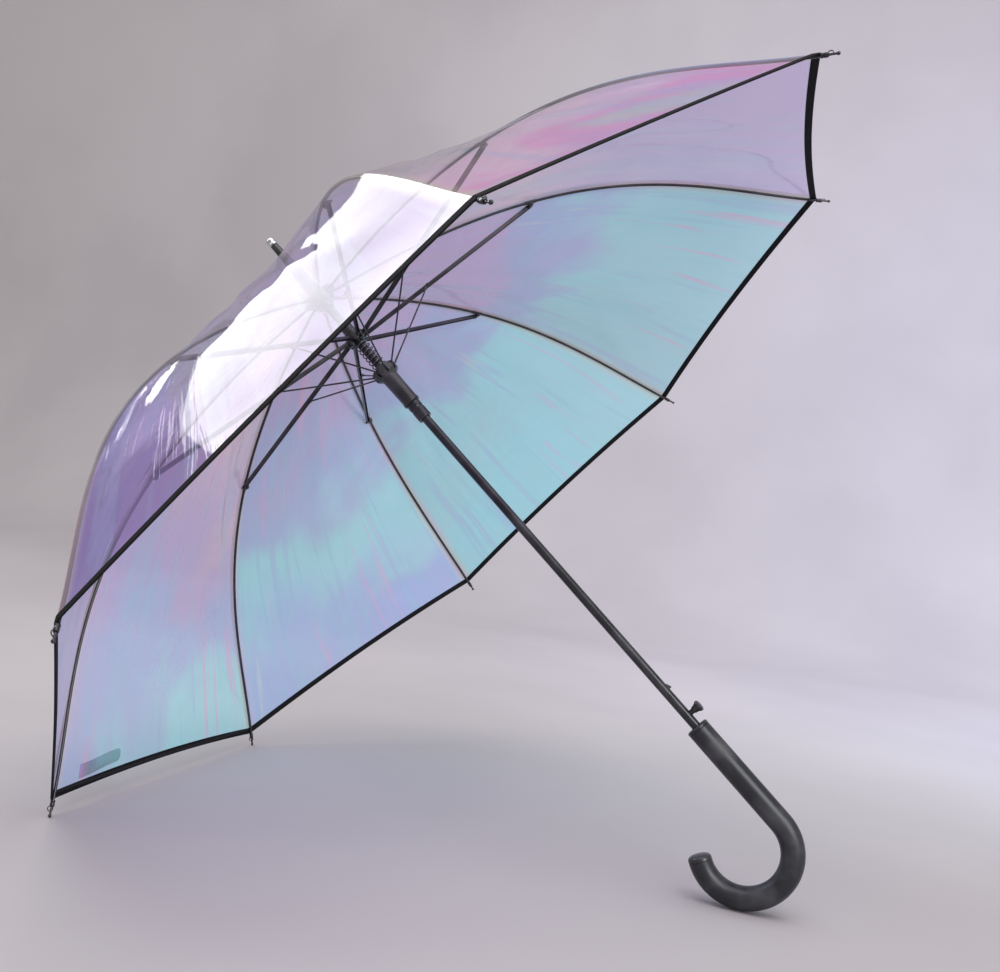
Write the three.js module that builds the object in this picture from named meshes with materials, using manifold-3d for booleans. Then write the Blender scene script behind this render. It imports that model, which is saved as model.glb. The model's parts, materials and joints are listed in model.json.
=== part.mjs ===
// A stick umbrella with a clear film canopy on eight ribs, opened, lying on two rib tips and the bend of its handle.
// Lengths are millimetres. Each piece is built round the shaft axis: z runs up the shaft to the ferrule, z = 0 is
// the plane of the canopy's eight corners, and x points to the side that the handle's hook bends to.
import * as THREE from "three";
import { mergeVertices } from "three/addons/utils/BufferGeometryUtils.js";
import Module from "manifold-3d";

const wasm = await Module();
wasm.setup();

// Canopy and ribs
const ribCount = 8;
const rimRadius = 500; // shaft axis to a canopy corner
const crownHeight = 250; // canopy corners up to the rib pivots
const ribRootSlope = 4.8; // degrees below level, where a rib leaves the crown
const ribRootPull = 338; // how far a rib holds that slope, as a Bezier handle
const ribTipSlope = 44.3; // degrees below level, at a canopy corner
const ribTipPull = 125;
const ribRadius = 1.5;
const ribSteps = 14;
const ribEyeRadius = 2.4;
const jointRadius = 250; // shaft axis to the pin between a rib and its stretcher
const tipPinLength = 15;
const tipPinRadius = 1.1;
const tipBallRadius = 1.6;
const filmThickness = 0.5;
const hemWidth = 6;
const hemThickness = 1.6;
const goreSag = 8; // how far the film dips between two ribs
const hemRise = 6; // how far the hem arches towards the crown between two corners

// Shaft and crown
const shaftRadius = 4.75;
const shaftWall = 0.7;
const ferruleRise = 92; // crown up to the top of the ferrule
const ferruleTipLength = 9;
const ferruleTipRadius = 4.2;
const capRadius = 20;
const notchHeight = 8;

// Upper ring, which carries the stretchers
const ringDrop = 60.5; // crown down to the ring's pivots
const ringThickness = 8.4;
const ringCollarLength = 20;
const stretcherWidth = 3.2;
const stretcherDepth = 4.2;
const stretcherWall = 0.8;
const stretcherEyeRadius = 2.2;

// Runner, which slides down the shaft to close the umbrella
const flangeDrop = 48.5; // ring's pivots down to the runner's pivots
const flangeThickness = 8.4;
const sleeveLength = 46; // from the flange's pivots down to the collar
const sleeveWall = 1.3;
const runnerCollarLength = 21;
const runnerCollarWall = 2.4;
const wireRadius = 0.9;
const wireEyeRadius = 1.8;
const wireShare = 0.37; // where a wire holds its stretcher, from the ring to the rib
const springWire = 1.5;
const springTurns = 16;
const tipClosedRadius = 20; // shaft axis to a rib's end when the umbrella is closed

// Handle and catch
const gripRadius = 11.4;
const gripStraight = 114.5; // top of the grip down to the start of its hook
const hookRadius = 43.4; // centre line of the hook
const hookSweep = 207; // degrees
const endCapLength = 6;
const shaftInGrip = 70;
const buttonDrop = 29.665; // lower edge of the catch down to the button
const gripDrop = 13; // button down to the top of the grip
const buttonStemRadius = 2.6;
const buttonHeadRadius = 5.6;
const buttonReach = 12.5; // how far the button stands out of the shaft
const buttonTravel = 2.5;
const catchLength = 6;
const catchReach = 2.3;
const catchWidth = 3;
const catchWindowHeight = 3; // collar's lower edge up to the window that the catch springs into

// Closure strap
const strapWidth = 14;
const strapThickness = 0.5;
const strapBulge = 7;
const snapRadius = 5.5;

const clearance = 0.3;
const ferruleHeight = crownHeight + ferruleRise;
const ringHeight = crownHeight - ringDrop;
const flangeHeight = ringHeight - flangeDrop;
const ribStep = (2 * Math.PI) / ribCount;
const halfStep = ribStep / 2;

// ---------------------------------------------------------------- solids

function solidOf(geometry) {
  const plain = geometry.index ? geometry.clone() : geometry;
  for (const name of Object.keys(plain.attributes))
    if (name !== "position") plain.deleteAttribute(name);
  const merged = mergeVertices(plain, 1e-4);
  const mesh = new wasm.Mesh({
    numProp: 3,
    vertProperties: new Float32Array(merged.attributes.position.array),
    triVerts: new Uint32Array(merged.index.array),
  });
  return new wasm.Manifold(mesh);
}

function geometryOf(solid) {
  const mesh = solid.getMesh();
  return new THREE.BufferGeometry()
    .setAttribute("position", new THREE.BufferAttribute(mesh.vertProperties, 3))
    .setIndex(new THREE.BufferAttribute(mesh.triVerts, 1));
}

const join = (...geometries) =>
  geometryOf(geometries.map(solidOf).reduce((whole, next) => whole.add(next)));

const cut = (geometry, ...tools) =>
  geometryOf(tools.map(solidOf).reduce((left, tool) => left.subtract(tool), solidOf(geometry)));

// A turned piece round z from a closed list of [radius, height] pairs, listed anticlockwise.
function turned(profile, sides = 24) {
  const points = [...profile, profile[0]].map(([r, z]) => new THREE.Vector2(r, z));
  return new THREE.LatheGeometry(points, sides).rotateX(Math.PI / 2);
}

// A cylinder of the given length, centred on a point and lying along x, y or z.
function rod(along, radius, length, [x, y, z], sides = 12) {
  const geometry = new THREE.CylinderGeometry(radius, radius, length, sides);
  if (along === "x") geometry.rotateZ(Math.PI / 2);
  if (along === "z") geometry.rotateX(Math.PI / 2);
  return geometry.translate(x, y, z);
}

// A box between two corners.
function block([x0, y0, z0], [x1, y1, z1]) {
  const geometry = new THREE.BoxGeometry(x1 - x0, y1 - y0, z1 - z0);
  return geometry.translate((x0 + x1) / 2, (y0 + y1) / 2, (z0 + z1) / 2);
}

function roundShape(radius, sides) {
  const corners = Array.from({ length: sides }, (_, i) => {
    const angle = (2 * Math.PI * (i + 0.5)) / sides;
    return new THREE.Vector2(radius * Math.cos(angle), radius * Math.sin(angle));
  });
  return new THREE.Shape(corners);
}

const swept = (path, radius, sides, steps) =>
  new THREE.ExtrudeGeometry(roundShape(radius, sides), { steps, extrudePath: path });

// A thin closed solid between two grids of points, each a list of rows.
function shell(outer, inner) {
  const rows = outer.length;
  const columns = outer[0].length;
  const points = [...outer.flat(), ...inner.flat()];
  const at = (side, i, j) => side * rows * columns + i * columns + j;
  const faces = [];
  const quad = (a, b, c, d) => faces.push(a, b, c, a, c, d);
  for (let i = 0; i + 1 < rows; i++)
    for (let j = 0; j + 1 < columns; j++) {
      quad(at(0, i, j), at(0, i + 1, j), at(0, i + 1, j + 1), at(0, i, j + 1));
      quad(at(1, i, j), at(1, i, j + 1), at(1, i + 1, j + 1), at(1, i + 1, j));
    }
  for (let i = 0; i + 1 < rows; i++) {
    quad(at(0, i, 0), at(1, i, 0), at(1, i + 1, 0), at(0, i + 1, 0));
    const last = columns - 1;
    quad(at(0, i + 1, last), at(1, i + 1, last), at(1, i, last), at(0, i, last));
  }
  for (let j = 0; j + 1 < columns; j++) {
    quad(at(0, 0, j + 1), at(1, 0, j + 1), at(1, 0, j), at(0, 0, j));
    const last = rows - 1;
    quad(at(0, last, j), at(1, last, j), at(1, last, j + 1), at(0, last, j + 1));
  }
  return new THREE.BufferGeometry().setFromPoints(points).setIndex(faces);
}

// Turns a piece's faces round after a mirroring.
function mirroredY(geometry) {
  const turnedRound = geometry.clone().scale(1, -1, 1);
  const index = turnedRound.index.array;
  for (let i = 0; i < index.length; i += 3)
    [index[i + 1], index[i + 2]] = [index[i + 2], index[i + 1]];
  return turnedRound;
}

// ---------------------------------------------------------------- rib curve and linkage

const slotClearance = clearance + 0.1;
const shaftBore = shaftRadius + clearance;
const notchPivotRadius = shaftBore + 3.2 + ribEyeRadius + slotClearance;
const ringPivotRadius = shaftBore + 2.2 + stretcherEyeRadius + slotClearance;
const springRadius = shaftRadius + clearance + 1.3 + springWire / 2;
const sleeveRadius = springRadius + springWire / 2 + clearance + sleeveWall;
const flangePivotRadius = sleeveRadius + wireEyeRadius + slotClearance;
const stretcherOffset = ribRadius + clearance + stretcherWidth / 2;
const wireOffset = ribRadius - wireRadius;

const along = (slope) => new THREE.Vector2(Math.cos(slope), -Math.sin(slope));
const ribRoot = new THREE.Vector2(notchPivotRadius, crownHeight);
const ribEnd = new THREE.Vector2(rimRadius, 0);
const rootWay = along(THREE.MathUtils.degToRad(ribRootSlope));
const endWay = along(THREE.MathUtils.degToRad(ribTipSlope));
const ribCurve = new THREE.CubicBezierCurve(
  ribRoot,
  ribRoot.clone().addScaledVector(rootWay, ribRootPull),
  ribEnd.clone().addScaledVector(endWay, -ribTipPull),
  ribEnd,
);

// The centre of an eye or clip that hangs a little below a rib's centre line.
function underRib(u, drop) {
  const way = ribCurve.getTangent(u);
  const down = new THREE.Vector2(way.y, -way.x);
  return ribCurve.getPoint(u).addScaledVector(down, drop);
}

// How far along its curve a rib reaches a given distance from the shaft axis.
function ribShareAt(radius) {
  let low = 0;
  let high = 1;
  for (let i = 0; i < 40; i++) {
    const middle = (low + high) / 2;
    if (ribCurve.getPoint(middle).x < radius) low = middle;
    else high = middle;
  }
  return low;
}

// The clip that a stretcher is pinned to hangs low enough for the stretcher's eye to clear the film's dip beside it.
const halfGoreWidth = jointRadius * Math.sin(halfStep) * Math.cos(halfStep);
const dipBeside = (2 * goreSag * (stretcherOffset + stretcherWidth / 2)) / halfGoreWidth;
const clipDrop = stretcherEyeRadius + dipBeside + clearance - ribRadius + 0.2;
const ribClipRadius = clipDrop + ribRadius - clearance;
const ribPivot = underRib(0, ribEyeRadius - ribRadius + clearance);
const ribJoint = underRib(ribShareAt(jointRadius), clipDrop);
const ringPivot = new THREE.Vector2(ringPivotRadius, ringHeight);
const flangePivot = new THREE.Vector2(flangePivotRadius, flangeHeight);
const wireJoint = ringPivot.clone().lerp(ribJoint, wireShare);
const slopeOf = (from, to) => Math.atan2(to.y - from.y, to.x - from.x);

// Where every pivot stands when the rib's end is drawn in to the shaft.
function closedLinkage() {
  const length = ribPivot.distanceTo(ribEnd);
  const ribTurn =
    Math.PI / 2 +
    slopeOf(ribPivot, ribEnd) -
    Math.asin((tipClosedRadius - ribPivot.x) / length);
  const joint = ribJoint.clone().rotateAround(ribPivot, -ribTurn);
  const below = (point, pivot, reach) =>
    new THREE.Vector2(pivot.x, point.y - Math.sqrt(reach ** 2 - (point.x - pivot.x) ** 2));
  const ring = below(joint, ringPivot, ringPivot.distanceTo(ribJoint));
  const hold = ring.clone().lerp(joint, wireShare);
  const flange = below(hold, flangePivot, flangePivot.distanceTo(wireJoint));
  return {
    ribTurn,
    stretcherTurn: slopeOf(ring, joint) - slopeOf(ringPivot, ribJoint),
    wireTurn: slopeOf(flange, hold) - slopeOf(flangePivot, wireJoint),
    ringTravel: ringPivot.y - ring.y,
    runnerTravel: flangePivot.y - flange.y,
  };
}

const closed = closedLinkage();

// ---------------------------------------------------------------- canopy

const filmLift = ribRadius + clearance + filmThickness / 2;
const filmHole = shaftBore + 2;

// The canopy's centre line over a rib, as a point and the way it runs, from share 0 at the crown to 1 at the hem.
function filmLine(share) {
  const lead = notchPivotRadius - filmHole;
  const run = share * (lead + ribCurve.getLength());
  const u = Math.max(0, (run - lead) / ribCurve.getLength());
  const way = ribCurve.getTangentAt(u);
  const outward = new THREE.Vector2(-way.y, way.x);
  const point = ribCurve.getPointAt(u).addScaledVector(outward, filmLift);
  if (run < lead) point.addScaledVector(way, run - lead);
  return { point, way };
}

// A point of the half gore beside the rib on the x axis: across runs from 0 on the rib to 1 midway to the next rib,
// and lift is the distance outwards from the film's centre surface.
function filmPoint(share, across, lift) {
  const { point, way } = filmLine(share);
  const edge = clearance / 2;
  const middle = new THREE.Vector3(Math.cos(halfStep), Math.sin(halfStep), 0);
  const radius = point.x * Math.cos(halfStep);
  const onRib = new THREE.Vector3(point.x, edge, point.y);
  const between = middle.clone().multiplyScalar(radius).setZ(point.y);
  between.x += edge * Math.sin(halfStep);
  between.y -= edge * Math.cos(halfStep);
  const ribNormal = new THREE.Vector3(-way.y, 0, way.x);
  const flatNormal = middle
    .clone()
    .multiplyScalar(-way.y)
    .setZ(way.x * Math.cos(halfStep))
    .normalize();
  const normal = ribNormal.lerp(flatNormal, across).normalize();
  const upward = new THREE.Vector3(-way.x, 0, -way.y).lerp(
    middle.multiplyScalar(-way.x).setZ(-way.y),
    across,
  );
  const fullness = across * (2 - across);
  const dip = goreSag * Math.sin(Math.PI * share) * fullness;
  return onRib
    .lerp(between, across)
    .addScaledVector(normal, lift - dip)
    .addScaledVector(upward, hemRise * share ** 3 * fullness);
}

// The film bends at the same stations as the ribs do, so the two stay parallel.
function halfGore() {
  const lead = notchPivotRadius - filmHole;
  const length = lead + ribCurve.getLength();
  const tape = 1 - hemWidth / length;
  const stations = Array.from(
    { length: ribSteps },
    (_, i) => (lead + (ribCurve.getLength() * i) / ribSteps) / length,
  );
  const shares = [0, ...stations, tape - 0.0005, tape, 1];
  const columns = [0, 0.3, 0.65, 1];
  const grid = (side) =>
    shares.map((share) => {
      const thick = share >= tape ? hemThickness : filmThickness;
      const lift = side > 0 ? thick - filmThickness / 2 : -filmThickness / 2;
      return columns.map((across) => filmPoint(share, across, lift));
    });
  return shell(grid(1), grid(-1));
}

// The strap lies outside the hem of one half gore, stitched at its near end and bowed away from the film.
const strapStart = 0.2;
const strapEnd = 0.62;
const strapShareOf = (distance) => 1 - (hemWidth + 2 + distance) / ribCurve.getLength();

function strapLift(across) {
  const along01 = (across - strapStart) / (strapEnd - strapStart);
  return filmThickness / 2 + clearance + 0.4 + strapBulge * Math.sin((Math.PI / 2) * along01) ** 2;
}

function closureStrap() {
  const steps = 10;
  const stations = Array.from(
    { length: steps + 1 },
    (_, i) => strapStart + ((strapEnd - strapStart) * i) / steps,
  );
  const grid = (extra) =>
    [strapWidth, 0].map((distance) =>
      stations.map((across) =>
        filmPoint(strapShareOf(distance), across, strapLift(across) + extra),
      ),
    );
  return mirroredY(shell(grid(strapThickness), grid(0)));
}

function strapSnap() {
  const across = strapEnd - 0.04;
  const share = strapShareOf(strapWidth / 2);
  const foot = filmPoint(share, across, strapLift(across) + strapThickness + 2 * clearance);
  const top = filmPoint(share, across, strapLift(across) + strapThickness + 1);
  const dome = turned(
    [
      [0, 0],
      [snapRadius, 0],
      [snapRadius, 1],
      [snapRadius * 0.7, 2],
      [0, 2.4],
    ],
    16,
  );
  const turn = new THREE.Quaternion().setFromUnitVectors(
    new THREE.Vector3(0, 0, 1),
    top.sub(foot).normalize(),
  );
  return mirroredY(dome.applyQuaternion(turn).translate(foot.x, foot.y, foot.z));
}

// ---------------------------------------------------------------- frame pieces, in the plane of the rib on the x axis

class RibPath extends THREE.Curve {
  getPoint(u) {
    const { x, y } = ribCurve.getPoint(u);
    return new THREE.Vector3(x, 0, y);
  }
}

function rib() {
  const eye = rod("y", ribEyeRadius, 2 * ribRadius, [ribPivot.x, 0, ribPivot.y]);
  const clip = rod("y", ribClipRadius, 2 * ribRadius, [ribJoint.x, 0, ribJoint.y]);
  const pinEnd = ribEnd.clone().addScaledVector(endWay, tipPinLength);
  const pin = rod("z", tipPinRadius, tipPinLength + 1, [0, 0, 0], 8)
    .rotateY(Math.PI / 2 - slopeOf(ribEnd, pinEnd))
    .translate((ribEnd.x + pinEnd.x) / 2, 0, (ribEnd.y + pinEnd.y) / 2);
  const ball = new THREE.SphereGeometry(tipBallRadius, 8, 6).translate(pinEnd.x, 0, pinEnd.y);
  return join(swept(new RibPath(), ribRadius, 6, ribSteps), eye, clip, pin, ball);
}

// A channel with its open side down, running along x from its ring eye to its rib eye.
function stretcher() {
  const length = ringPivot.distanceTo(ribJoint);
  const half = stretcherWidth / 2;
  const top = stretcherDepth / 2;
  const channel = cut(
    block([1, -half, -top], [length - 1, half, top]),
    block(
      [stretcherEyeRadius + 3, stretcherWall - half, -top - 1],
      [length - stretcherEyeRadius - 3, half - stretcherWall, top - stretcherWall],
    ),
  );
  const eyes = [0, length].map((x) => rod("y", stretcherEyeRadius, stretcherWidth, [x, 0, 0]));
  return join(channel, ...eyes);
}

function wire() {
  const length = flangePivot.distanceTo(wireJoint);
  const eyes = [0, length].map((x) => rod("y", wireEyeRadius, 2 * wireRadius, [x, 0, 0], 10));
  return join(rod("x", wireRadius, length, [length / 2, 0, 0], 6), ...eyes);
}

// ---------------------------------------------------------------- turned pieces round the shaft

// Cuts one slot beside each rib, from a given radius outwards.
function slotted(geometry, inner, centre, width, low, high) {
  const slots = Array.from({ length: ribCount }, (_, i) =>
    block([inner, centre - width / 2, low - 1], [60, centre + width / 2, high + 1]).rotateZ(
      halfStep + i * ribStep,
    ),
  );
  return cut(geometry, ...slots);
}

const notchTop = crownHeight + ribRadius - clearance;
const notchBottom = notchTop - notchHeight;

function topNotch() {
  const rim = notchPivotRadius + 2;
  const hub = shaftBore + 2.6;
  const body = turned([
    [shaftBore, notchBottom - 7],
    [hub, notchBottom - 7],
    [hub, notchBottom],
    [rim, notchBottom],
    [rim, notchTop],
    [shaftBore, notchTop],
  ]);
  const inner = notchPivotRadius - ribEyeRadius - slotClearance;
  return slotted(body, inner, 0, 2 * (ribRadius + clearance), notchBottom, notchTop);
}

const capSlope = Math.tan(THREE.MathUtils.degToRad(ribRootSlope));
const capBase = crownHeight + filmLift + filmThickness / 2 + 2 * clearance;
const capThickness = 2.4;

function crownCap() {
  const fall = capSlope * (capRadius - notchPivotRadius);
  return turned([
    [shaftBore, capBase],
    [notchPivotRadius, capBase],
    [capRadius, capBase - fall],
    [capRadius, capBase - fall + 0.9],
    [capRadius * 0.7, capBase + capThickness * 0.7],
    [shaftBore + 3.4, capBase + capThickness],
    [shaftBore, capBase + capThickness],
  ]);
}

const ferruleBase = capBase + capThickness + clearance;
const shaftTop = ferruleBase + 30;

function ferrule() {
  const top = ferruleHeight - ferruleTipLength - clearance;
  return turned([
    [0, shaftTop + clearance],
    [shaftBore, shaftTop + clearance],
    [shaftBore, ferruleBase],
    [shaftBore + 2.9, ferruleBase],
    [shaftBore + 2.3, ferruleBase + 8],
    [shaftBore + 1.3, shaftTop + 4],
    [ferruleTipRadius, top],
    [0, top],
  ]);
}

function ferruleTip() {
  const base = ferruleHeight - ferruleTipLength;
  const radius = ferruleTipRadius;
  return turned([
    [0, base],
    [radius + 0.4, base],
    [radius + 0.4, ferruleHeight - 1.2],
    [radius - 0.8, ferruleHeight],
    [0, ferruleHeight],
  ]);
}

function upperRing() {
  const low = ringHeight - ringThickness / 2;
  const high = ringHeight + ringThickness / 2;
  const rim = ringPivotRadius + 2.2;
  const body = turned([
    [shaftBore, low],
    [rim - 0.8, low],
    [rim, low + 0.8],
    [rim, high - 0.8],
    [rim - 0.8, high],
    [shaftBore, high],
  ]);
  const inner = ringPivotRadius - stretcherEyeRadius - slotClearance;
  const width = stretcherWidth + 2 * clearance;
  return slotted(body, inner, stretcherOffset, width, low, high);
}

function ringCollar() {
  const low = ringHeight + ringThickness / 2 + clearance;
  const radius = ringPivotRadius - stretcherDepth / 2 - clearance - 0.2;
  const high = low + ringCollarLength;
  return turned([
    [shaftBore, low],
    [radius, low],
    [radius, high - 1],
    [radius - 1, high],
    [shaftBore, high],
  ]);
}

const sleeveBottom = flangeHeight - sleeveLength;
const cupFloor = sleeveBottom + 3;
const collarBottom = sleeveBottom - runnerCollarLength;

function runnerSleeve() {
  const low = flangeHeight - flangeThickness / 2;
  const high = flangeHeight + flangeThickness / 2;
  const rim = flangePivotRadius + 2.2;
  const cup = sleeveRadius - sleeveWall;
  const body = turned([
    [shaftBore, sleeveBottom],
    [sleeveRadius - 1, sleeveBottom],
    [sleeveRadius, sleeveBottom + 1],
    [sleeveRadius, low - 1.5],
    [rim, low],
    [rim, high],
    [cup, high],
    [cup, cupFloor],
    [shaftBore, cupFloor],
  ]);
  const inner = flangePivotRadius - wireEyeRadius - slotClearance + 0.05;
  const width = 2 * (wireRadius + clearance);
  return slotted(body, inner, wireOffset, width, low - 1.5, high);
}

function runnerCollar() {
  const top = sleeveBottom - clearance;
  const radius = shaftBore + runnerCollarWall;
  const body = turned([
    [shaftBore, collarBottom],
    [radius - 0.6, collarBottom],
    [radius, collarBottom + 0.6],
    [radius, top],
    [shaftBore, top],
  ]);
  const low = collarBottom + catchWindowHeight;
  const half = catchWidth / 2 + 2 * clearance;
  const window = block([-radius - 1, -half, low], [0, half, low + catchLength + 1]);
  return cut(body, window);
}

class SpringPath extends THREE.Curve {
  getPoint(u) {
    const low = cupFloor + clearance + springWire / 2;
    const high = ringHeight - ringThickness / 2 - clearance - springWire / 2;
    const turn = 2 * Math.PI * springTurns * u;
    return new THREE.Vector3(
      springRadius * Math.cos(turn),
      springRadius * Math.sin(turn),
      THREE.MathUtils.lerp(low, high, u),
    );
  }
}

const mainSpring = () => swept(new SpringPath(), springWire / 2, 5, springTurns * 9);

// ---------------------------------------------------------------- shaft, handle, button and catch

const catchBottom = collarBottom + catchWindowHeight + 0.5 - closed.runnerTravel;
const buttonHeight = catchBottom - buttonDrop;
const gripTop = buttonHeight - gripDrop;
const shaftBottom = gripTop - shaftInGrip;

function shaft() {
  const bore = shaftRadius - shaftWall;
  const tube = turned([
    [bore, shaftBottom],
    [shaftRadius, shaftBottom],
    [shaftRadius, shaftTop],
    [bore, shaftTop],
  ]);
  const buttonHole = rod(
    "x",
    buttonStemRadius + clearance,
    shaftRadius + 1,
    [-(shaftRadius + 1) / 2, 0, buttonHeight],
    16,
  );
  const half = catchWidth / 2 + clearance;
  const catchSlot = block(
    [-shaftRadius - 1, -half, catchBottom - clearance],
    [0, half, catchBottom + catchLength + clearance],
  );
  return cut(tube, buttonHole, catchSlot);
}

function pushButton() {
  const neck = shaftRadius + clearance + buttonTravel;
  const reach = shaftRadius + buttonReach;
  const profile = [
    [0, shaftRadius - shaftWall - 1],
    [buttonStemRadius, shaftRadius - shaftWall - 1],
    [buttonStemRadius, neck],
    [buttonHeadRadius * 0.62, neck + 1],
    [buttonHeadRadius * 0.75, neck + 4.5],
    [buttonHeadRadius, reach - 3.2],
    [buttonHeadRadius, reach - 1.2],
    [buttonHeadRadius * 0.72, reach - 0.2],
    [0, reach],
  ];
  return turned(profile, 20).rotateY(-Math.PI / 2).translate(0, 0, buttonHeight);
}

// A wedge that lets the runner ride down over its slope and then holds it from below.
function lowerCatch() {
  const inside = shaftRadius - shaftWall - 1.2;
  const outline = new THREE.Shape([
    new THREE.Vector2(inside, 0),
    new THREE.Vector2(shaftRadius + catchReach, 0),
    new THREE.Vector2(shaftRadius + catchReach, 1.2),
    new THREE.Vector2(shaftRadius + 0.2, catchLength),
    new THREE.Vector2(inside, catchLength),
  ]);
  return new THREE.ExtrudeGeometry(outline, { depth: catchWidth, bevelEnabled: false })
    .translate(0, 0, -catchWidth / 2)
    .rotateX(Math.PI / 2)
    .rotateZ(Math.PI)
    .translate(0, 0, catchBottom);
}

// The strip inside the shaft that pushes the button and the catch out.
function catchSpring() {
  const low = buttonHeight - 8;
  const high = catchBottom + catchLength + 4;
  const bore = shaftRadius - shaftWall - clearance;
  const thickness = 0.6;
  const near = bore * 0.25;
  const far = bore * 0.55;
  const steps = 12;
  const wave = Array.from({ length: steps + 1 }, (_, i) => {
    const bend = THREE.MathUtils.lerp(near, far, Math.sin((Math.PI * i) / steps));
    return new THREE.Vector2(bend, THREE.MathUtils.lerp(low, high, i / steps));
  });
  const back = wave.map(({ x, y }) => new THREE.Vector2(x + thickness, y)).reverse();
  return new THREE.ExtrudeGeometry(new THREE.Shape([...wave, ...back]), {
    depth: catchWidth,
    bevelEnabled: false,
  })
    .translate(0, 0, -catchWidth / 2)
    .rotateX(Math.PI / 2);
}

const hookStart = gripTop - gripStraight;
const hookArc = THREE.MathUtils.degToRad(hookSweep);

class GripPath extends THREE.Curve {
  getPoint(u) {
    const run = u * (gripStraight + hookArc * hookRadius);
    if (run <= gripStraight) return new THREE.Vector3(0, 0, gripTop - run);
    const angle = (run - gripStraight) / hookRadius;
    return new THREE.Vector3(
      hookRadius * (1 - Math.cos(angle)),
      0,
      hookStart - hookRadius * Math.sin(angle),
    );
  }
}

function handleGrip() {
  const bar = swept(new GripPath(), gripRadius, 16, 30);
  const socketDepth = shaftInGrip + clearance;
  const socket = rod("z", shaftBore, socketDepth + 1, [0, 0, gripTop - socketDepth / 2 + 0.5], 24);
  return cut(bar, socket);
}

function handleEndCap() {
  const dome = turned(
    [
      [0, clearance],
      [gripRadius, clearance],
      [gripRadius * 0.97, endCapLength * 0.45],
      [gripRadius * 0.8, endCapLength * 0.8],
      [gripRadius * 0.45, endCapLength * 0.97],
      [0, endCapLength],
    ],
    20,
  );
  const end = new GripPath().getPoint(1);
  return dome.rotateY(Math.PI - hookArc).translate(end.x, end.y, end.z);
}

// ---------------------------------------------------------------- materials

const finish = (color, roughness, metalness, extra = {}) => () =>
  new THREE.MeshStandardMaterial({ color, roughness, metalness, ...extra });

const blackSteel = finish(0x101114, 0.35, 0.6);
const blackPlastic = finish(0x0c0c0e, 0.45, 0);
const softGrip = finish(0x0b0c0f, 0.5, 0);
const springSteel = finish(0x2a2a2e, 0.3, 0.9);
const brightSteel = finish(0xc9ccd2, 0.25, 1);
const clearFilm = finish(0xb4b4e6, 0.08, 0, {
  transparent: true,
  opacity: 0.35,
  side: THREE.DoubleSide,
});

// ---------------------------------------------------------------- assembly

const canopy = new THREE.Group();

function place(group, name, geometry, material) {
  const mesh = new THREE.Mesh(geometry, material());
  mesh.name = name;
  group.add(mesh);
  return mesh;
}

place(canopy, "shaft", shaft(), blackSteel);
place(canopy, "top_notch", topNotch(), blackPlastic);
place(canopy, "crown_cap", crownCap(), blackPlastic);
place(canopy, "ferrule", ferrule(), blackPlastic);
place(canopy, "ferrule_tip", ferruleTip(), brightSteel);
place(canopy, "upper_ring", upperRing(), blackPlastic);
place(canopy, "ring_collar", ringCollar(), blackPlastic);
place(canopy, "main_spring", mainSpring(), springSteel);
place(canopy, "runner_sleeve", runnerSleeve(), blackPlastic);
place(canopy, "runner_collar", runnerCollar(), blackSteel);
place(canopy, "handle_grip", handleGrip(), softGrip);
place(canopy, "handle_end_cap", handleEndCap(), blackPlastic);
place(canopy, "push_button", pushButton(), blackPlastic);
place(canopy, "lower_catch", lowerCatch(), springSteel);
place(canopy, "catch_spring", catchSpring(), springSteel);

const ribGroups = [];
for (let k = 1; k <= ribCount; k++) {
  const group = new THREE.Group();
  group.rotation.z = halfStep + (k - 1) * ribStep;
  canopy.add(group);
  ribGroups.push(group);
  place(group, `rib_${k}`, rib(), blackSteel);
  const arm = place(group, `stretcher_${k}`, stretcher(), blackSteel);
  arm.position.set(ringPivot.x, stretcherOffset, ringPivot.y);
  arm.rotation.y = -slopeOf(ringPivot, ribJoint);
  const link = place(group, `wire_${k}`, wire(), blackSteel);
  link.position.set(flangePivot.x, wireOffset, flangePivot.y);
  link.rotation.y = -slopeOf(flangePivot, wireJoint);
  place(group, `film_${k}_right`, halfGore(), clearFilm);
  place(group, `film_${k}_left`, mirroredY(halfGore()), clearFilm);
}
place(ribGroups[0], "closure_strap", closureStrap(), clearFilm);
place(ribGroups[0], "strap_snap", strapSnap(), blackPlastic);

// The umbrella leans until the balls of the two lowest rib ends and the hook's bend touch the floor.
function restingLean() {
  const pinEnd = ribEnd.clone().addScaledVector(endWay, tipPinLength);
  const ball = new THREE.Vector2(pinEnd.x * Math.cos(halfStep), pinEnd.y);
  const hook = new THREE.Vector2(hookRadius, hookStart);
  const span = hook.clone().sub(ball);
  const radii = hookRadius + gripRadius - tipBallRadius;
  return Math.atan2(-span.x, -span.y) - Math.asin(radii / span.length());
}

const lean = restingLean();
const c = Math.cos(lean);
const s = Math.sin(lean);
const leaning = new THREE.Matrix4().makeBasis(
  new THREE.Vector3(-s, 0, -c),
  new THREE.Vector3(0, -1, 0),
  new THREE.Vector3(-c, 0, s),
);
canopy.setRotationFromMatrix(leaning);
canopy.updateMatrixWorld(true);
const reach = new THREE.Box3().setFromObject(canopy, true);
canopy.position.set(-(reach.min.x + reach.max.x) / 2, 0, -reach.min.z);

const umbrella = new THREE.Group();
umbrella.add(canopy);
umbrella.updateMatrixWorld(true);

// The joints, in the part's own frame: a point on each axis, the way it runs, and how far its piece moves from open
// to closed. Turns are radians and slides millimetres.
function joint(frame, [x, y, z], way, travel) {
  const matrix = frame.matrixWorld;
  return {
    point: new THREE.Vector3(x, y, z).applyMatrix4(matrix).toArray(),
    axis: new THREE.Vector3(...way).transformDirection(matrix).toArray(),
    travel,
  };
}

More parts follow.
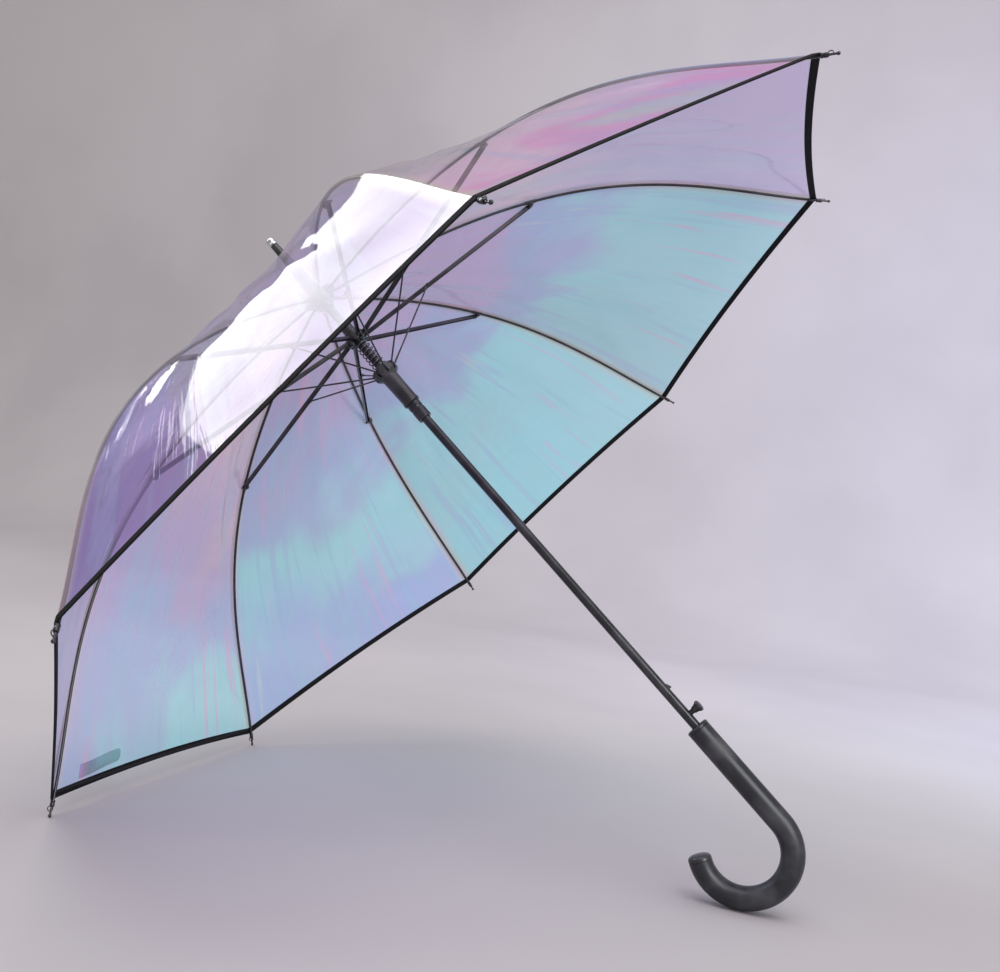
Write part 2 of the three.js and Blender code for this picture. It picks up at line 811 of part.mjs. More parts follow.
const filmCrown = filmLine(0).point;
const filmHem = filmLine(1).point;
const foldTurn = THREE.MathUtils.degToRad(74);
const chord = [filmHem.x - filmCrown.x, 0, filmHem.y - filmCrown.y];
const joints = {
  runner_slide: joint(canopy, [0, 0, flangeHeight], [0, 0, -1], closed.runnerTravel),
  ring_slide: joint(canopy, [0, 0, ringHeight], [0, 0, -1], closed.ringTravel),
  button_press: joint(canopy, [0, 0, buttonHeight], [1, 0, 0], buttonTravel),
  catch_press: joint(canopy, [0, 0, catchBottom], [1, 0, 0], buttonTravel),
};
ribGroups.forEach((group, i) => {
  const k = i + 1;
  const crown = [filmCrown.x, 0, filmCrown.y];
  joints[`rib_${k}_pivot`] = joint(group, [ribPivot.x, 0, ribPivot.y], [0, 1, 0], closed.ribTurn);
  joints[`stretcher_${k}_pivot`] = joint(
    group,
    [ringPivot.x, stretcherOffset, ringPivot.y],
    [0, -1, 0],
    closed.stretcherTurn,
  );
  joints[`wire_${k}_pivot`] = joint(
    group,
    [flangePivot.x, wireOffset, flangePivot.y],
    [0, -1, 0],
    closed.wireTurn,
  );
  joints[`film_${k}_right_fold`] = joint(group, crown, chord, foldTurn);
  joints[`film_${k}_left_fold`] = joint(group, crown, chord.map((v) => -v), foldTurn);
});
umbrella.userData.joints = joints;

export default umbrella;
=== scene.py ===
import json
import math
import random

import bpy
from mathutils import Matrix, Vector
from mathutils.geometry import interpolate_bezier


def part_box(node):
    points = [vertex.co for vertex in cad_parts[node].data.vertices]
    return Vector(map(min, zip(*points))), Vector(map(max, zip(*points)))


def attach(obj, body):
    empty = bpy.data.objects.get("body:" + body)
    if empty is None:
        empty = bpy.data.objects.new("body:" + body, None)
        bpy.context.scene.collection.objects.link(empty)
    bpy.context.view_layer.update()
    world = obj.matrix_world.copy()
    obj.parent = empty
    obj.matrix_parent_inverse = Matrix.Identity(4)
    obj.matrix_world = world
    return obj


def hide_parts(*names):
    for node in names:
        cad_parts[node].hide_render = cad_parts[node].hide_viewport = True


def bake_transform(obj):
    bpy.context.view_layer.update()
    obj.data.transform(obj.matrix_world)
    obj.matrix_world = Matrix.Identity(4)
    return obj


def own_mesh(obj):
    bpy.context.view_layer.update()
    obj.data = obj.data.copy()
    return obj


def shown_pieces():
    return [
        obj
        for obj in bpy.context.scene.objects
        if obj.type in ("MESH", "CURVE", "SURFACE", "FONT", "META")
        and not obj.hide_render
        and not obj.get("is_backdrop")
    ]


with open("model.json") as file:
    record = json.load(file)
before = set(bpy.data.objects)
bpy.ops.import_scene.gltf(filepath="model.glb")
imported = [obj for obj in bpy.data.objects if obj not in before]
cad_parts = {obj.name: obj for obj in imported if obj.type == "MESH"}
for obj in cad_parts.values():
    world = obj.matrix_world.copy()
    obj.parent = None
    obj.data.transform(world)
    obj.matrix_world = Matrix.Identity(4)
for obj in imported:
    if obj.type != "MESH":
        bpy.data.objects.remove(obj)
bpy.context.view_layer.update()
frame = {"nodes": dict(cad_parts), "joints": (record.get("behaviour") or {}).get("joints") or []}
jointOf = {joint["name"]: joint for joint in frame["joints"]}
random.seed(11)

canopy = {
    "ribs": 8,
    "rimRadius": 0.5,
    "rootSlope": 4.8,        # degrees below level where a rib leaves the crown
    "rootPull": 0.338,
    "tipSlope": 44.3,
    "tipPull": 0.125,
    "ribRadius": 0.0015,
    "filmLift": 0.00205,     # rib centre line out to the film's middle
    "filmHole": 0.00705,
    "dip": 0.008,            # how far the film dips between two ribs
    "hemRise": 0.006,
    "rows": 56,
    "columns": 20,
}
halfStep = math.pi / canopy["ribs"]
ribNumbers = range(1, canopy["ribs"] + 1)


shaftWay = -Vector(jointOf["runner_slide"]["axis"]).normalized()
hookWay = Vector(jointOf["button_press"]["axis"]).normalized()
sideWay = shaftWay.cross(hookWay).normalized()
pivots = [Vector(jointOf[f"rib_{k}_pivot"]["pos_m"]) for k in ribNumbers]
pivotMiddle = sum(pivots, Vector()) / canopy["ribs"]
pivotRadius = (pivots[0] - pivotMiddle).length
crownHeight = 0.25
pivotHeight = crownHeight - 0.0012   # a rib's pivot hangs this far under its centre line
shaftOrigin = pivotMiddle - shaftWay * pivotHeight
turn = Matrix((hookWay, sideWay, shaftWay)).transposed().to_4x4()
shaftFrame = Matrix.Translation(shaftOrigin) @ turn


def ribFrame(k):
    return shaftFrame @ Matrix.Rotation(halfStep * (2 * k - 1), 4, "Z")


def slopeWay(degrees):
    angle = math.radians(degrees)
    return Vector((math.cos(angle), 0, -math.sin(angle)))


def deselectAll():
    if bpy.context.object and bpy.context.object.mode != "OBJECT":
        bpy.ops.object.mode_set(mode="OBJECT")
    bpy.ops.object.select_all(action="DESELECT")


def only(piece):
    deselectAll()
    piece.select_set(True)
    bpy.context.view_layer.objects.active = piece


def applyModifiers(piece):
    only(piece)
    for modifier in list(piece.modifiers):
        bpy.ops.object.modifier_apply(modifier=modifier.name)


def settle(piece, matrix=None):
    # puts the piece's place into its mesh, with its object at the origin
    only(piece)
    if matrix is not None:
        piece.matrix_world = matrix @ piece.matrix_world
    bpy.context.view_layer.update()
    bpy.ops.object.transform_apply(location=True, rotation=True, scale=True)


def tidyNormals(piece, angle=35):
    only(piece)
    bpy.ops.object.mode_set(mode="EDIT")
    bpy.ops.mesh.select_all(action="SELECT")
    bpy.ops.mesh.remove_doubles(threshold=1e-6)
    bpy.ops.mesh.normals_make_consistent(inside=False)
    bpy.ops.object.mode_set(mode="OBJECT")
    bpy.ops.object.shade_smooth_by_angle(angle=math.radians(angle))


def smoothed(piece, angle):
    only(piece)
    bpy.ops.object.shade_smooth_by_angle(angle=math.radians(angle))
    return piece


def soften(piece, width, segments=2, limit=30):
    edge = piece.modifiers.new("soft edges", "BEVEL")
    edge.width = width
    edge.segments = segments
    edge.limit_method = "ANGLE"
    edge.angle_limit = math.radians(limit)
    applyModifiers(piece)


def thicken(piece, thickness):
    skin = piece.modifiers.new("thickness", "SOLIDIFY")
    skin.thickness = thickness
    skin.offset = 0


def cutAway(piece, tool):
    cut = piece.modifiers.new("cut", "BOOLEAN")
    cut.operation = "DIFFERENCE"
    cut.solver = "EXACT"
    cut.object = tool
    applyModifiers(piece)
    bpy.data.objects.remove(tool)


def finishPiece(piece, name, material, body, nodes=(), matrix=None):
    piece.name = name
    piece.data.name = name
    piece.data.materials.clear()
    piece.data.materials.append(material)
    settle(piece, matrix)
    if nodes:
        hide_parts(*nodes)
    if body:
        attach(piece, body)
    deselectAll()


def turnedPiece(profile, steps=48, bevel=0.0):
    # a closed profile of (radius, height) pairs spun round the shaft
    deselectAll()
    bpy.ops.mesh.primitive_plane_add(size=0.001)
    piece = bpy.context.object
    bpy.ops.object.mode_set(mode="EDIT")
    bpy.ops.mesh.select_all(action="SELECT")
    bpy.ops.mesh.merge(type="CENTER")
    first = Vector((profile[0][0], 0, profile[0][1]))
    bpy.ops.transform.translate(value=first)
    here = first
    for radius, height in profile[1:] + profile[:1]:
        there = Vector((radius, 0, height))
        bpy.ops.mesh.extrude_region_move(TRANSFORM_OT_translate={"value": there - here})
        here = there
    bpy.ops.mesh.select_all(action="SELECT")
    bpy.ops.mesh.remove_doubles(threshold=1e-6)
    bpy.ops.mesh.spin(steps=steps, angle=2 * math.pi, center=(0, 0, 0), axis=(0, 0, 1))
    bpy.ops.mesh.select_all(action="SELECT")
    bpy.ops.mesh.remove_doubles(threshold=1e-6)
    bpy.ops.mesh.normals_make_consistent(inside=False)
    bpy.ops.object.mode_set(mode="OBJECT")
    if bevel:
        soften(piece, bevel, 3, 32)
    tidyNormals(piece)
    return piece


def bezierTube(points, radius, resolution, sides):
    # a tube along a Bezier curve: each point is a place, the handle before it and the handle after it
    deselectAll()
    bpy.ops.curve.primitive_bezier_curve_add()
    piece = bpy.context.object
    spline = piece.data.splines[0]
    spline.bezier_points.add(len(points) - 2)
    for knot, (place, before, after) in zip(spline.bezier_points, points):
        knot.handle_left_type = knot.handle_right_type = "FREE"
        knot.co, knot.handle_left, knot.handle_right = place, before, after
    piece.data.resolution_u = resolution
    piece.data.bevel_depth = radius
    piece.data.bevel_resolution = sides
    piece.data.use_fill_caps = True
    only(piece)
    bpy.ops.object.convert(target="MESH")
    piece = bpy.context.object
    tidyNormals(piece, 50)
    return piece


def polyTube(places, radius, sides):
    # a tube through a run of places, one straight step between each two
    deselectAll()
    bpy.ops.curve.primitive_nurbs_path_add()
    piece = bpy.context.object
    piece.data.splines.clear()
    spline = piece.data.splines.new("POLY")
    spline.points.add(len(places) - 1)
    for knot, place in zip(spline.points, places):
        knot.co = (*place, 1)
    piece.data.twist_mode = "MINIMUM"
    piece.data.bevel_depth = radius
    piece.data.bevel_resolution = sides
    piece.data.use_fill_caps = True
    only(piece)
    bpy.ops.object.convert(target="MESH")
    piece = bpy.context.object
    tidyNormals(piece, 50)
    return piece


def drum(radius, length, place, along="Y", bevel=0.0002, sides=24):
    # a short cylinder with softened edges
    deselectAll()
    way = {"X": (0, math.pi / 2, 0), "Y": (math.pi / 2, 0, 0), "Z": (0, 0, 0)}[along]
    bpy.ops.mesh.primitive_cylinder_add(
        vertices=sides, radius=radius, depth=length, location=place, rotation=way
    )
    piece = bpy.context.object
    soften(piece, bevel)
    settle(piece)
    tidyNormals(piece)
    return piece


def box(place, size):
    deselectAll()
    bpy.ops.mesh.primitive_cube_add(size=1, location=place, scale=size)
    piece = bpy.context.object
    settle(piece)
    return piece


def wireLoop(place, radius, wire, turns, sides):
    deselectAll()
    bpy.ops.mesh.primitive_torus_add(
        major_radius=radius,
        minor_radius=wire,
        major_segments=24,
        minor_segments=sides,
        location=place,
        rotation=turns,
    )
    piece = bpy.context.object
    settle(piece)
    return piece


def joined(*pieces):
    deselectAll()
    for piece in pieces:
        piece.select_set(True)
    bpy.context.view_layer.objects.active = pieces[0]
    bpy.ops.object.join()
    return bpy.context.object


def copyOf(piece):
    double = piece.copy()
    double.data = piece.data.copy()
    bpy.context.scene.collection.objects.link(double)
    return double


def feed(tree, node, inputs):
    # each input takes a constant, or a link from another node's output
    for name, value in inputs.items():
        if isinstance(value, bpy.types.NodeSocket):
            tree.links.new(value, node.inputs[name])
        else:
            node.inputs[name].default_value = value
    return node


def addNode(tree, kind, inputs=None, **settings):
    node = tree.nodes.new("ShaderNode" + kind)
    for name, value in settings.items():
        setattr(node, name, value)
    return feed(tree, node, inputs or {})


def calculated(tree, operation, *values, clamp=False):
    node = addNode(tree, "Math", dict(enumerate(values)), operation=operation, use_clamp=clamp)
    return node.outputs["Value"]


def mixed(tree, factor, one, two):
    return addNode(tree, "Mix", {"Factor": factor, "A": one, "B": two}, data_type="RGBA").outputs["Result"]


def rampOf(tree, factor, stops, mode="EASE"):
    ramp = addNode(tree, "ValToRGB", {"Fac": factor})
    ramp.color_ramp.interpolation = mode
    while len(ramp.color_ramp.elements) < len(stops):
        ramp.color_ramp.elements.new(0.5)
    for element, (place, colour) in zip(ramp.color_ramp.elements, stops):
        element.position = place
        element.color = (*colour, 1)
    return ramp.outputs["Color"]


def newMaterial(name):
    material = bpy.data.materials.new(name)
    material.use_nodes = True
    return material, material.node_tree


surfaceInputs = {
    "Colour": ("NodeSocketColor", (0.02, 0.02, 0.02, 1)),
    "Lift": ("NodeSocketFloat", 0.35),
    "Roughness": ("NodeSocketFloat", 0.4),
    "Grain Scale": ("NodeSocketFloat", 900),
    "Grain": ("NodeSocketFloat", 0.3),
}
surfaceLook = {
    "smudgeTone": (0.16, 0.16, 0.17, 1),
    "smudgeScale": 38,
    "smudgeDetail": 5,
    "smudgeRange": (0.45, 0.8),
    "grainDetail": 2,
    "smudgeRoughness": 0.22,
}


def surfaceGroup():
    # fine speckle and broad smudges, put out as a colour, a roughness and a height
    group = bpy.data.node_groups.new("handledSurface", "ShaderNodeTree")
    for name, (kind, default) in surfaceInputs.items():
        made = group.interface.new_socket(name=name, in_out="INPUT", socket_type=kind)
        made.default_value = default
    group.interface.new_socket(name="Colour", in_out="OUTPUT", socket_type="NodeSocketColor")
    group.interface.new_socket(name="Roughness", in_out="OUTPUT", socket_type="NodeSocketFloat")
    group.interface.new_socket(name="Height", in_out="OUTPUT", socket_type="NodeSocketFloat")
    given = group.nodes.new("NodeGroupInput").outputs
    place = addNode(group, "TexCoord").outputs["Object"]
    smudge = addNode(
        group,
        "TexNoise",
        {"Vector": place, "Scale": surfaceLook["smudgeScale"], "Detail": surfaceLook["smudgeDetail"]},
    )
    grain = addNode(
        group,
        "TexNoise",
        {"Vector": place, "Scale": given["Grain Scale"], "Detail": surfaceLook["grainDetail"]},
    )
    low, high = surfaceLook["smudgeRange"]
    spots = {"Value": smudge.outputs["Fac"], "From Min": low, "From Max": high}
    share = addNode(group, "MapRange", spots).outputs["Result"]
    dimmed = calculated(group, "MULTIPLY", share, given["Lift"])
    roughness = calculated(group, "MULTIPLY_ADD", share, surfaceLook["smudgeRoughness"], given["Roughness"])
    sink = {
        "Colour": mixed(group, dimmed, given["Colour"], surfaceLook["smudgeTone"]),
        "Roughness": roughness,
        "Height": calculated(group, "MULTIPLY", grain.outputs["Fac"], given["Grain"]),
    }
    feed(group, group.nodes.new("NodeGroupOutput"), sink)
    return group


handledSurface = surfaceGroup()


def handledFinish(name, colour, roughness, lift, grainScale, grain, metallic=0.0, coat=0.0, bump=0.0001):
    material, tree = newMaterial(name)
    given = {"Colour": (*colour, 1), "Lift": lift, "Roughness": roughness}
    given.update({"Grain Scale": grainScale, "Grain": grain})
    surface = addNode(tree, "Group", None, node_tree=handledSurface)
    feed(tree, surface, given)
    height = {"Height": surface.outputs["Height"], "Distance": bump, "Strength": 0.6}
    shader = {
        "Base Color": surface.outputs["Colour"],
        "Roughness": surface.outputs["Roughness"],
        "Normal": addNode(tree, "Bump", height).outputs["Normal"],
        "Metallic": metallic,
        "Coat Weight": coat,
        "Coat Roughness": 0.12,
    }
    feed(tree, tree.nodes["Principled BSDF"], shader)
    return material


# the film's purple tint, darkened further with a painted dark reflection
violetAndPaintedDarkReflection = (0.18, 0.07, 0.42)
lilac = (0.55, 0.42, 0.80)
pink = (0.80, 0.56, 0.74)
blue = (0.36, 0.50, 0.85)
cyan = (0.32, 0.80, 0.88)
clear = (0.56, 0.54, 0.56)
# a painted highlight: a pinkish-red glint put into the film's colour
paintedMagentaHighlight = (0.85, 0.26, 0.62)

filmLook = {
    "tint": 0.42,            # how strongly the film colours what is behind it
    "throughValue": 1.35,
    "refraction": 1.6,
    "roughness": 0.05,
    "coatRoughness": 0.03,
    "ripple": 0.0012,
    "rippleStrength": 0.6,
    "cloud": {"Scale": 4.5, "Detail": 3, "Distortion": 0.9},
    "drift": (0.9, -0.45),
    "streakStretch": (8, 0.8, 1),
    "streaks": {"Scale": 1.5, "Detail": 4, "Roughness": 0.5, "Distortion": 1.3},
    "folds": {"Scale": 2.2, "Detail": 3, "Distortion": 1.2},
    "streakHues": [
        (0.30, (0.86, 0.36, 0.66)),
        (0.42, lilac),
        (0.54, (0.16, 0.74, 0.74)),
        (0.64, blue),
        (0.74, (0.62, 0.80, 0.62)),
    ],
    "streakMask": [(0.30, (1, 1, 1)), (0.40, (0, 0, 0)), (0.52, (0, 0, 0)), (0.64, (1, 1, 1))],
    "seam": [(0.0, (0.75, 0.75, 0.75)), (0.014, (0.5, 0.5, 0.5)), (0.036, (0, 0, 0))],
    "fringe": [
        (0.36, (0.66, 0.46, 0.40)),
        (0.46, (0.64, 0.68, 0.46)),
        (0.54, (0.85, 0.45, 0.62)),
        (0.64, (0.25, 0.50, 0.85)),
    ],
    "cloudRange": (0.32, 0.68),
    "seamDensity": 0.25,
}

# for each gore: its hues from the crown to the hem, its lowest and highest density, its share of streaks
goreLooks = [
    # the first two gores turn dark purple towards the hem: the film's tint plus a painted dark reflection
    ([(0.0, clear), (0.3, clear), (0.5, lilac), (0.75, violetAndPaintedDarkReflection), (1.0, violetAndPaintedDarkReflection)], (0.42, 0.72), 0.25),
    ([(0.0, clear), (0.4, clear), (0.6, lilac), (0.8, violetAndPaintedDarkReflection), (1.0, violetAndPaintedDarkReflection)], (0.30, 0.60), 0.30),
    # the pinkish-red stop near this gore's hem is a painted highlight
    ([(0.0, clear), (0.55, clear), (0.82, pink), (0.92, paintedMagentaHighlight), (1.0, clear)], (0.22, 0.48), 0.45),
    ([(0.0, lilac), (0.45, pink), (0.7, lilac), (1.0, lilac)], (0.24, 0.46), 0.45),
    ([(0.0, lilac), (0.38, lilac), (0.55, blue), (0.72, cyan), (1.0, cyan)], (0.34, 0.60), 0.50),
    ([(0.0, lilac), (0.25, lilac), (0.45, blue), (0.62, cyan), (1.0, cyan)], (0.36, 0.62), 0.50),
    ([(0.0, pink), (0.28, lilac), (0.5, blue), (0.68, cyan), (1.0, blue)], (0.34, 0.58), 0.55),
    ([(0.0, pink), (0.35, pink), (0.6, lilac), (0.8, blue), (1.0, cyan)], (0.28, 0.52), 0.55),
]


def filmMaterial(name, hues, density, streakShare):
    # a tinted, see-through skin whose hue drifts from crown to hem, with drawn-out streaks and a gloss
    material, tree = newMaterial(name)
    place = addNode(tree, "UVMap", uv_map="gore").outputs["UV"]
    split = addNode(tree, "SeparateXYZ", {"Vector": place}).outputs
    where = addNode(tree, "TexCoord").outputs["Object"]
    cloud = addNode(tree, "TexNoise", {"Vector": where, **filmLook["cloud"]}).outputs["Fac"]
    drift = calculated(tree, "MULTIPLY_ADD", cloud, *filmLook["drift"])
    base = rampOf(tree, calculated(tree, "ADD", split["Y"], drift), hues)
    # streaks run from the crown to the hem
    along = addNode(tree, "Mapping", {"Vector": place, "Scale": filmLook["streakStretch"]}).outputs["Vector"]
    streaks = addNode(tree, "TexNoise", {"Vector": along, **filmLook["streaks"]}).outputs["Fac"]
    streakHue = rampOf(tree, streaks, filmLook["streakHues"])
    share = calculated(tree, "MULTIPLY", rampOf(tree, streaks, filmLook["streakMask"]), streakShare)
    colour = mixed(tree, share, base, streakHue)
    # a rainbow fringe close to the seams along the ribs
    fromRib = calculated(tree, "PINGPONG", split["X"], 0.5)
    seam = rampOf(tree, fromRib, filmLook["seam"], "LINEAR")
    hue = mixed(tree, seam, colour, rampOf(tree, streaks, filmLook["fringe"]))
    # the film is denser in its clouds and beside the seams
    low, high = filmLook["cloudRange"]
    spread = {"Value": cloud, "From Min": low, "From Max": high, "To Min": density[0], "To Max": density[1]}
    body = addNode(tree, "MapRange", spread).outputs["Result"]
    denser = calculated(tree, "MULTIPLY_ADD", seam, filmLook["seamDensity"], body, clamp=True)
    # fine ripples
    folds = addNode(tree, "TexNoise", {"Vector": along, **filmLook["folds"]}).outputs["Fac"]
    height = {"Height": folds, "Distance": filmLook["ripple"], "Strength": filmLook["rippleStrength"]}
    shader = {
        "Base Color": hue,
        "Normal": addNode(tree, "Bump", height).outputs["Normal"],
        "IOR": filmLook["refraction"],
        "Roughness": filmLook["roughness"],
        "Coat Weight": 1.0,
        "Coat Roughness": filmLook["coatRoughness"],
    }
    skin = feed(tree, tree.nodes["Principled BSDF"], shader)
    # what shows through the film takes its hue
    pale = addNode(tree, "HueSaturation", {"Color": hue, "Value": filmLook["throughValue"]}).outputs["Color"]
    behind = mixed(tree, filmLook["tint"], (1, 1, 1, 1), pale)
    through = addNode(tree, "BsdfTransparent", {"Color": behind})
    both = {"Fac": denser, 1: through.outputs["BSDF"], 2: skin.outputs["BSDF"]}
    surface = {"Surface": addNode(tree, "MixShader", both).outputs["Shader"]}
    feed(tree, tree.nodes["Material Output"], surface)
    return material


bindingLook = {
    "weave": {"Scale": 420, "Distortion": 1.5},
    "tones": [(0.0, (0.004, 0.004, 0.005)), (1.0, (0.016, 0.016, 0.019))],
    "relief": 0.00025,
}


def bindingMaterial():
    # woven black tape with fine ribs
    material, tree = newMaterial("wovenBinding")
    place = addNode(tree, "TexCoord").outputs["Object"]
    weave = addNode(tree, "TexWave", {"Vector": place, **bindingLook["weave"]}).outputs["Fac"]
    relief = addNode(tree, "Bump", {"Height": weave, "Distance": bindingLook["relief"]})
    shader = {
        "Base Color": rampOf(tree, weave, bindingLook["tones"]),
        "Normal": relief.outputs["Normal"],
        "Roughness": 0.85,
        "Specular IOR Level": 0.12,
    }
    feed(tree, tree.nodes["Principled BSDF"], shader)
    return material


paintedSteel = handledFinish(
    "paintedSteel", (0.014, 0.014, 0.018), 0.28, 0.25, 1400, 0.25, metallic=0.35, coat=0.35
)
mouldedBlack = handledFinish("mouldedBlack", (0.012, 0.012, 0.014), 0.30, 0.30, 900, 0.35, coat=0.25)
softGrip = handledFinish(
    "softTouchGrip", (0.011, 0.012, 0.016), 0.36, 0.35, 2600, 0.8, coat=0.05, bump=0.00012
)
oiledSteel = handledFinish("oiledSteel", (0.12, 0.12, 0.13), 0.25, 0.5, 700, 0.3, metallic=0.95)
brightSteel = handledFinish("brightSteel", (0.62, 0.63, 0.66), 0.16, 0.4, 500, 0.2, metallic=1.0)
wovenBinding = bindingMaterial()
filmMaterials = [filmMaterial(f"iridescentFilm{k}", *look) for k, look in enumerate(goreLooks, 1)]
print("materials ready:", len(bpy.data.materials))


ribRoot = Vector((pivotRadius, 0, crownHeight))
ribEnd = Vector((canopy["rimRadius"], 0, 0))
rootHandle = ribRoot + slopeWay(canopy["rootSlope"]) * canopy["rootPull"]
endHandle = ribEnd - slopeWay(canopy["tipSlope"]) * canopy["tipPull"]
fineCurve = interpolate_bezier(ribRoot, rootHandle, endHandle, ribEnd, 400)
runTo = [0.0]
for before, after in zip(fineCurve, fineCurve[1:]):
    runTo.append(runTo[-1] + (after - before).length)
ribLength = runTo[-1]


def alongRib(run):
    # the point and the way of the rib's centre line, a given run from its pivot
    low, high = 0, len(runTo) - 1
    while high - low > 1:
        middle = (low + high) // 2
        if runTo[middle] <= run:
            low = middle
        else:
            high = middle
    share = (run - runTo[low]) / (runTo[high] - runTo[low])
    way = (fineCurve[high] - fineCurve[low]).normalized()
    near = fineCurve[max(low - 3, 0)]
    far = fineCurve[min(high + 3, len(fineCurve) - 1)]
    smoothWay = (far - near).normalized() if 3 < low < len(fineCurve) - 5 else way
    return fineCurve[low].lerp(fineCurve[high], share), smoothWay


def ribPlace(radius):
    # the run at which the rib reaches a distance from the shaft
    for point, run in zip(fineCurve, runTo):
        if point.x >= radius:
            return run
    return ribLength


lead = pivotRadius - canopy["filmHole"]
filmLength = lead + ribLength


def filmLine(share):
    run = share * filmLength - lead
    point, way = alongRib(max(run, 0.0))
    outward = Vector((-way.z, 0, way.x))
    place = point + outward * canopy["filmLift"]
    if run < 0:
        place = place + way * run
    return place, way


creases = {
    k: [
        (
            random.choice((0.0, 1.0)),
            random.uniform(0.55, 1.0),
            random.uniform(0.25, 0.75),
            random.uniform(0.15, 0.9),
            random.uniform(0.0007, 0.0021) * random.choice((1, -1)),
            random.uniform(0.012, 0.035),
        )
        for _ in range(7)
    ]
    for k in ribNumbers
}
waves = {k: [random.uniform(0, 2 * math.pi) for _ in range(4)] for k in ribNumbers}


def ripple(gore, across, share):
    # small folds in the film: across runs from 0 on the gore's first rib to 1 on its second
    fade = math.sin(math.pi * across)
    one, two, three, _ = waves[gore]
    lift = 0.0010 * fade * share * math.sin(2 * math.pi * (2.3 * across + 0.7 * share) + one)
    lift += 0.0007 * fade * math.sin(2 * math.pi * (4.1 * across - 1.1 * share) + two)
    lift += 0.0005 * fade * math.sin(2 * math.pi * (1.2 * across + 3.4 * share) + three)
    for startAcross, startShare, endAcross, endShare, height, width in creases[gore]:
        way = Vector((endAcross - startAcross, endShare - startShare))
        here = Vector((across - startAcross, share - startShare))
        along = max(0.0, min(1.0, here.dot(way) / way.length_squared))
        off = (here - way * along).length
        lift += height * math.exp(-((off / width) ** 2)) * math.sin(math.pi * along) * min(1.0, fade * 3)
    return lift * math.sin(math.pi * min(1.0, share * 1.02)) ** 0.5 if share < 0.98 else 0.0


def filmPoint(share, across):
    # across runs from 0 on the rib to 1 midway to the next one
    point, way = filmLine(min(share, 1.0))
    if share > 1:
        point = point + way * ((share - 1) * filmLength)
    middle = Vector((math.cos(halfStep), math.sin(halfStep), 0))
    between = middle * (point.x * math.cos(halfStep))
    between.z = point.z
    ribNormal = Vector((-way.z, 0, way.x))
    flatNormal = middle * -way.z
    flatNormal.z = way.x * math.cos(halfStep)
    normal = ribNormal.lerp(flatNormal.normalized(), across).normalized()
    midUp = middle * -way.x
    midUp.z = -way.z
    upward = Vector((-way.x, 0, -way.z)).lerp(midUp, across)
    fullness = across * (2 - across)
    dip = canopy["dip"] * math.sin(math.pi * min(share, 1.0)) * fullness
    return (
        Vector((point.x, 0, point.z)).lerp(between, across)
        - normal * dip
        + upward * canopy["hemRise"] * share ** 3 * fullness
    )


def gridPiece(columns, rows, placeOf, mapOf):
    # a grid primitive with every point moved to its place on a surface
    deselectAll()
    bpy.ops.mesh.primitive_grid_add(x_subdivisions=columns, y_subdivisions=rows, size=1)
    piece = bpy.context.object
    mesh = piece.data
    shares = [(v.co.x + 0.5, v.co.y + 0.5) for v in mesh.vertices]
    for vertex, (u, v) in zip(mesh.vertices, shares):
        vertex.co = placeOf(u, v)
    layer = mesh.uv_layers[0] if mesh.uv_layers else mesh.uv_layers.new()
    layer.name = "gore"
    for loop in mesh.loops:
        layer.data[loop.index].uv = mapOf(*shares[loop.vertex_index])
    bpy.ops.object.shade_smooth()
    return piece


def foldWith(piece):
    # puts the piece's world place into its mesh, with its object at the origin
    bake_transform(piece)


hem = {"width": 0.0062, "thickness": 0.0013, "over": 0.0012, "bevel": 0.0004, "columns": 24}


def buildGore(k, side):
    mirror = 1 if side == "right" else -1
    gore = k if side == "right" else (k - 2) % canopy["ribs"] + 1
    matrix = ribFrame(k)

    def goreAcross(across):
        return across / 2 if side == "right" else 1 - across / 2

    def place(across, share):
        lift = ripple(gore, goreAcross(across), share)
        point = filmPoint(share, across) + surfaceNormal(share, across) * lift
        return matrix @ Vector((point.x, mirror * point.y, point.z))

    film = gridPiece(canopy["columns"], canopy["rows"], place, lambda u, v: (goreAcross(u) + gore, v))
    only(film)
    if side == "left":
        bpy.ops.object.mode_set(mode="EDIT")
        bpy.ops.mesh.select_all(action="SELECT")
        bpy.ops.mesh.flip_normals()
        bpy.ops.object.mode_set(mode="OBJECT")
    cadName = f"film_{k}_{side}"
    finishPiece(film, f"canopyFilm_{k}_{side}", filmMaterials[gore - 1], None, [cadName])
    foldWith(film)

    tapeStart = 1 - hem["width"] / filmLength
    tapeEnd = 1 + hem["over"] / filmLength

    def tapePlace(u, v):
        share = tapeStart + (tapeEnd - tapeStart) * v
        point = filmPoint(share, u)
        return matrix @ Vector((point.x, mirror * point.y, point.z))

    tape = gridPiece(hem["columns"], 3, tapePlace, lambda u, v: (u, v))
    thicken(tape, hem["thickness"])
    soften(tape, hem["bevel"])
    tidyNormals(tape, 50)
    finishPiece(tape, f"hemBinding_{k}_{side}", wovenBinding, None)
    foldWith(tape)


def surfaceNormal(share, across):
    here = filmPoint(share, across)
    along = filmPoint(min(share + 0.004, 1.0), across) - filmPoint(max(share - 0.004, 0.0), across)
    beside = filmPoint(share, min(across + 0.02, 1.0)) - filmPoint(share, max(across - 0.02, 0.0))
    normal = along.cross(beside)
    if across > 0.999:
        # on the middle of the gore both halves share one normal, in the mid plane
        sideways = Vector((-math.sin(halfStep), math.cos(halfStep), 0))
        normal = normal - sideways * normal.dot(sideways)
    if normal.length < 1e-12:
        return Vector((0, 0, 1))
    normal.normalize()
    return normal if normal.dot(here + Vector((0, 0, 0.3))) > 0 else -normal


for k in ribNumbers:
    for side in ("right", "left"):
        buildGore(k, side)
print("canopy film and hem binding ready")

strap = {
    "start": 0.2,
    "end": 0.62,
    "width": 0.014,
    "length": 0.083,
    "thickness": 0.0004,
    "bulge": 0.0085,
    "foot": 0.0012,
    "hemGap": 0.008,
}


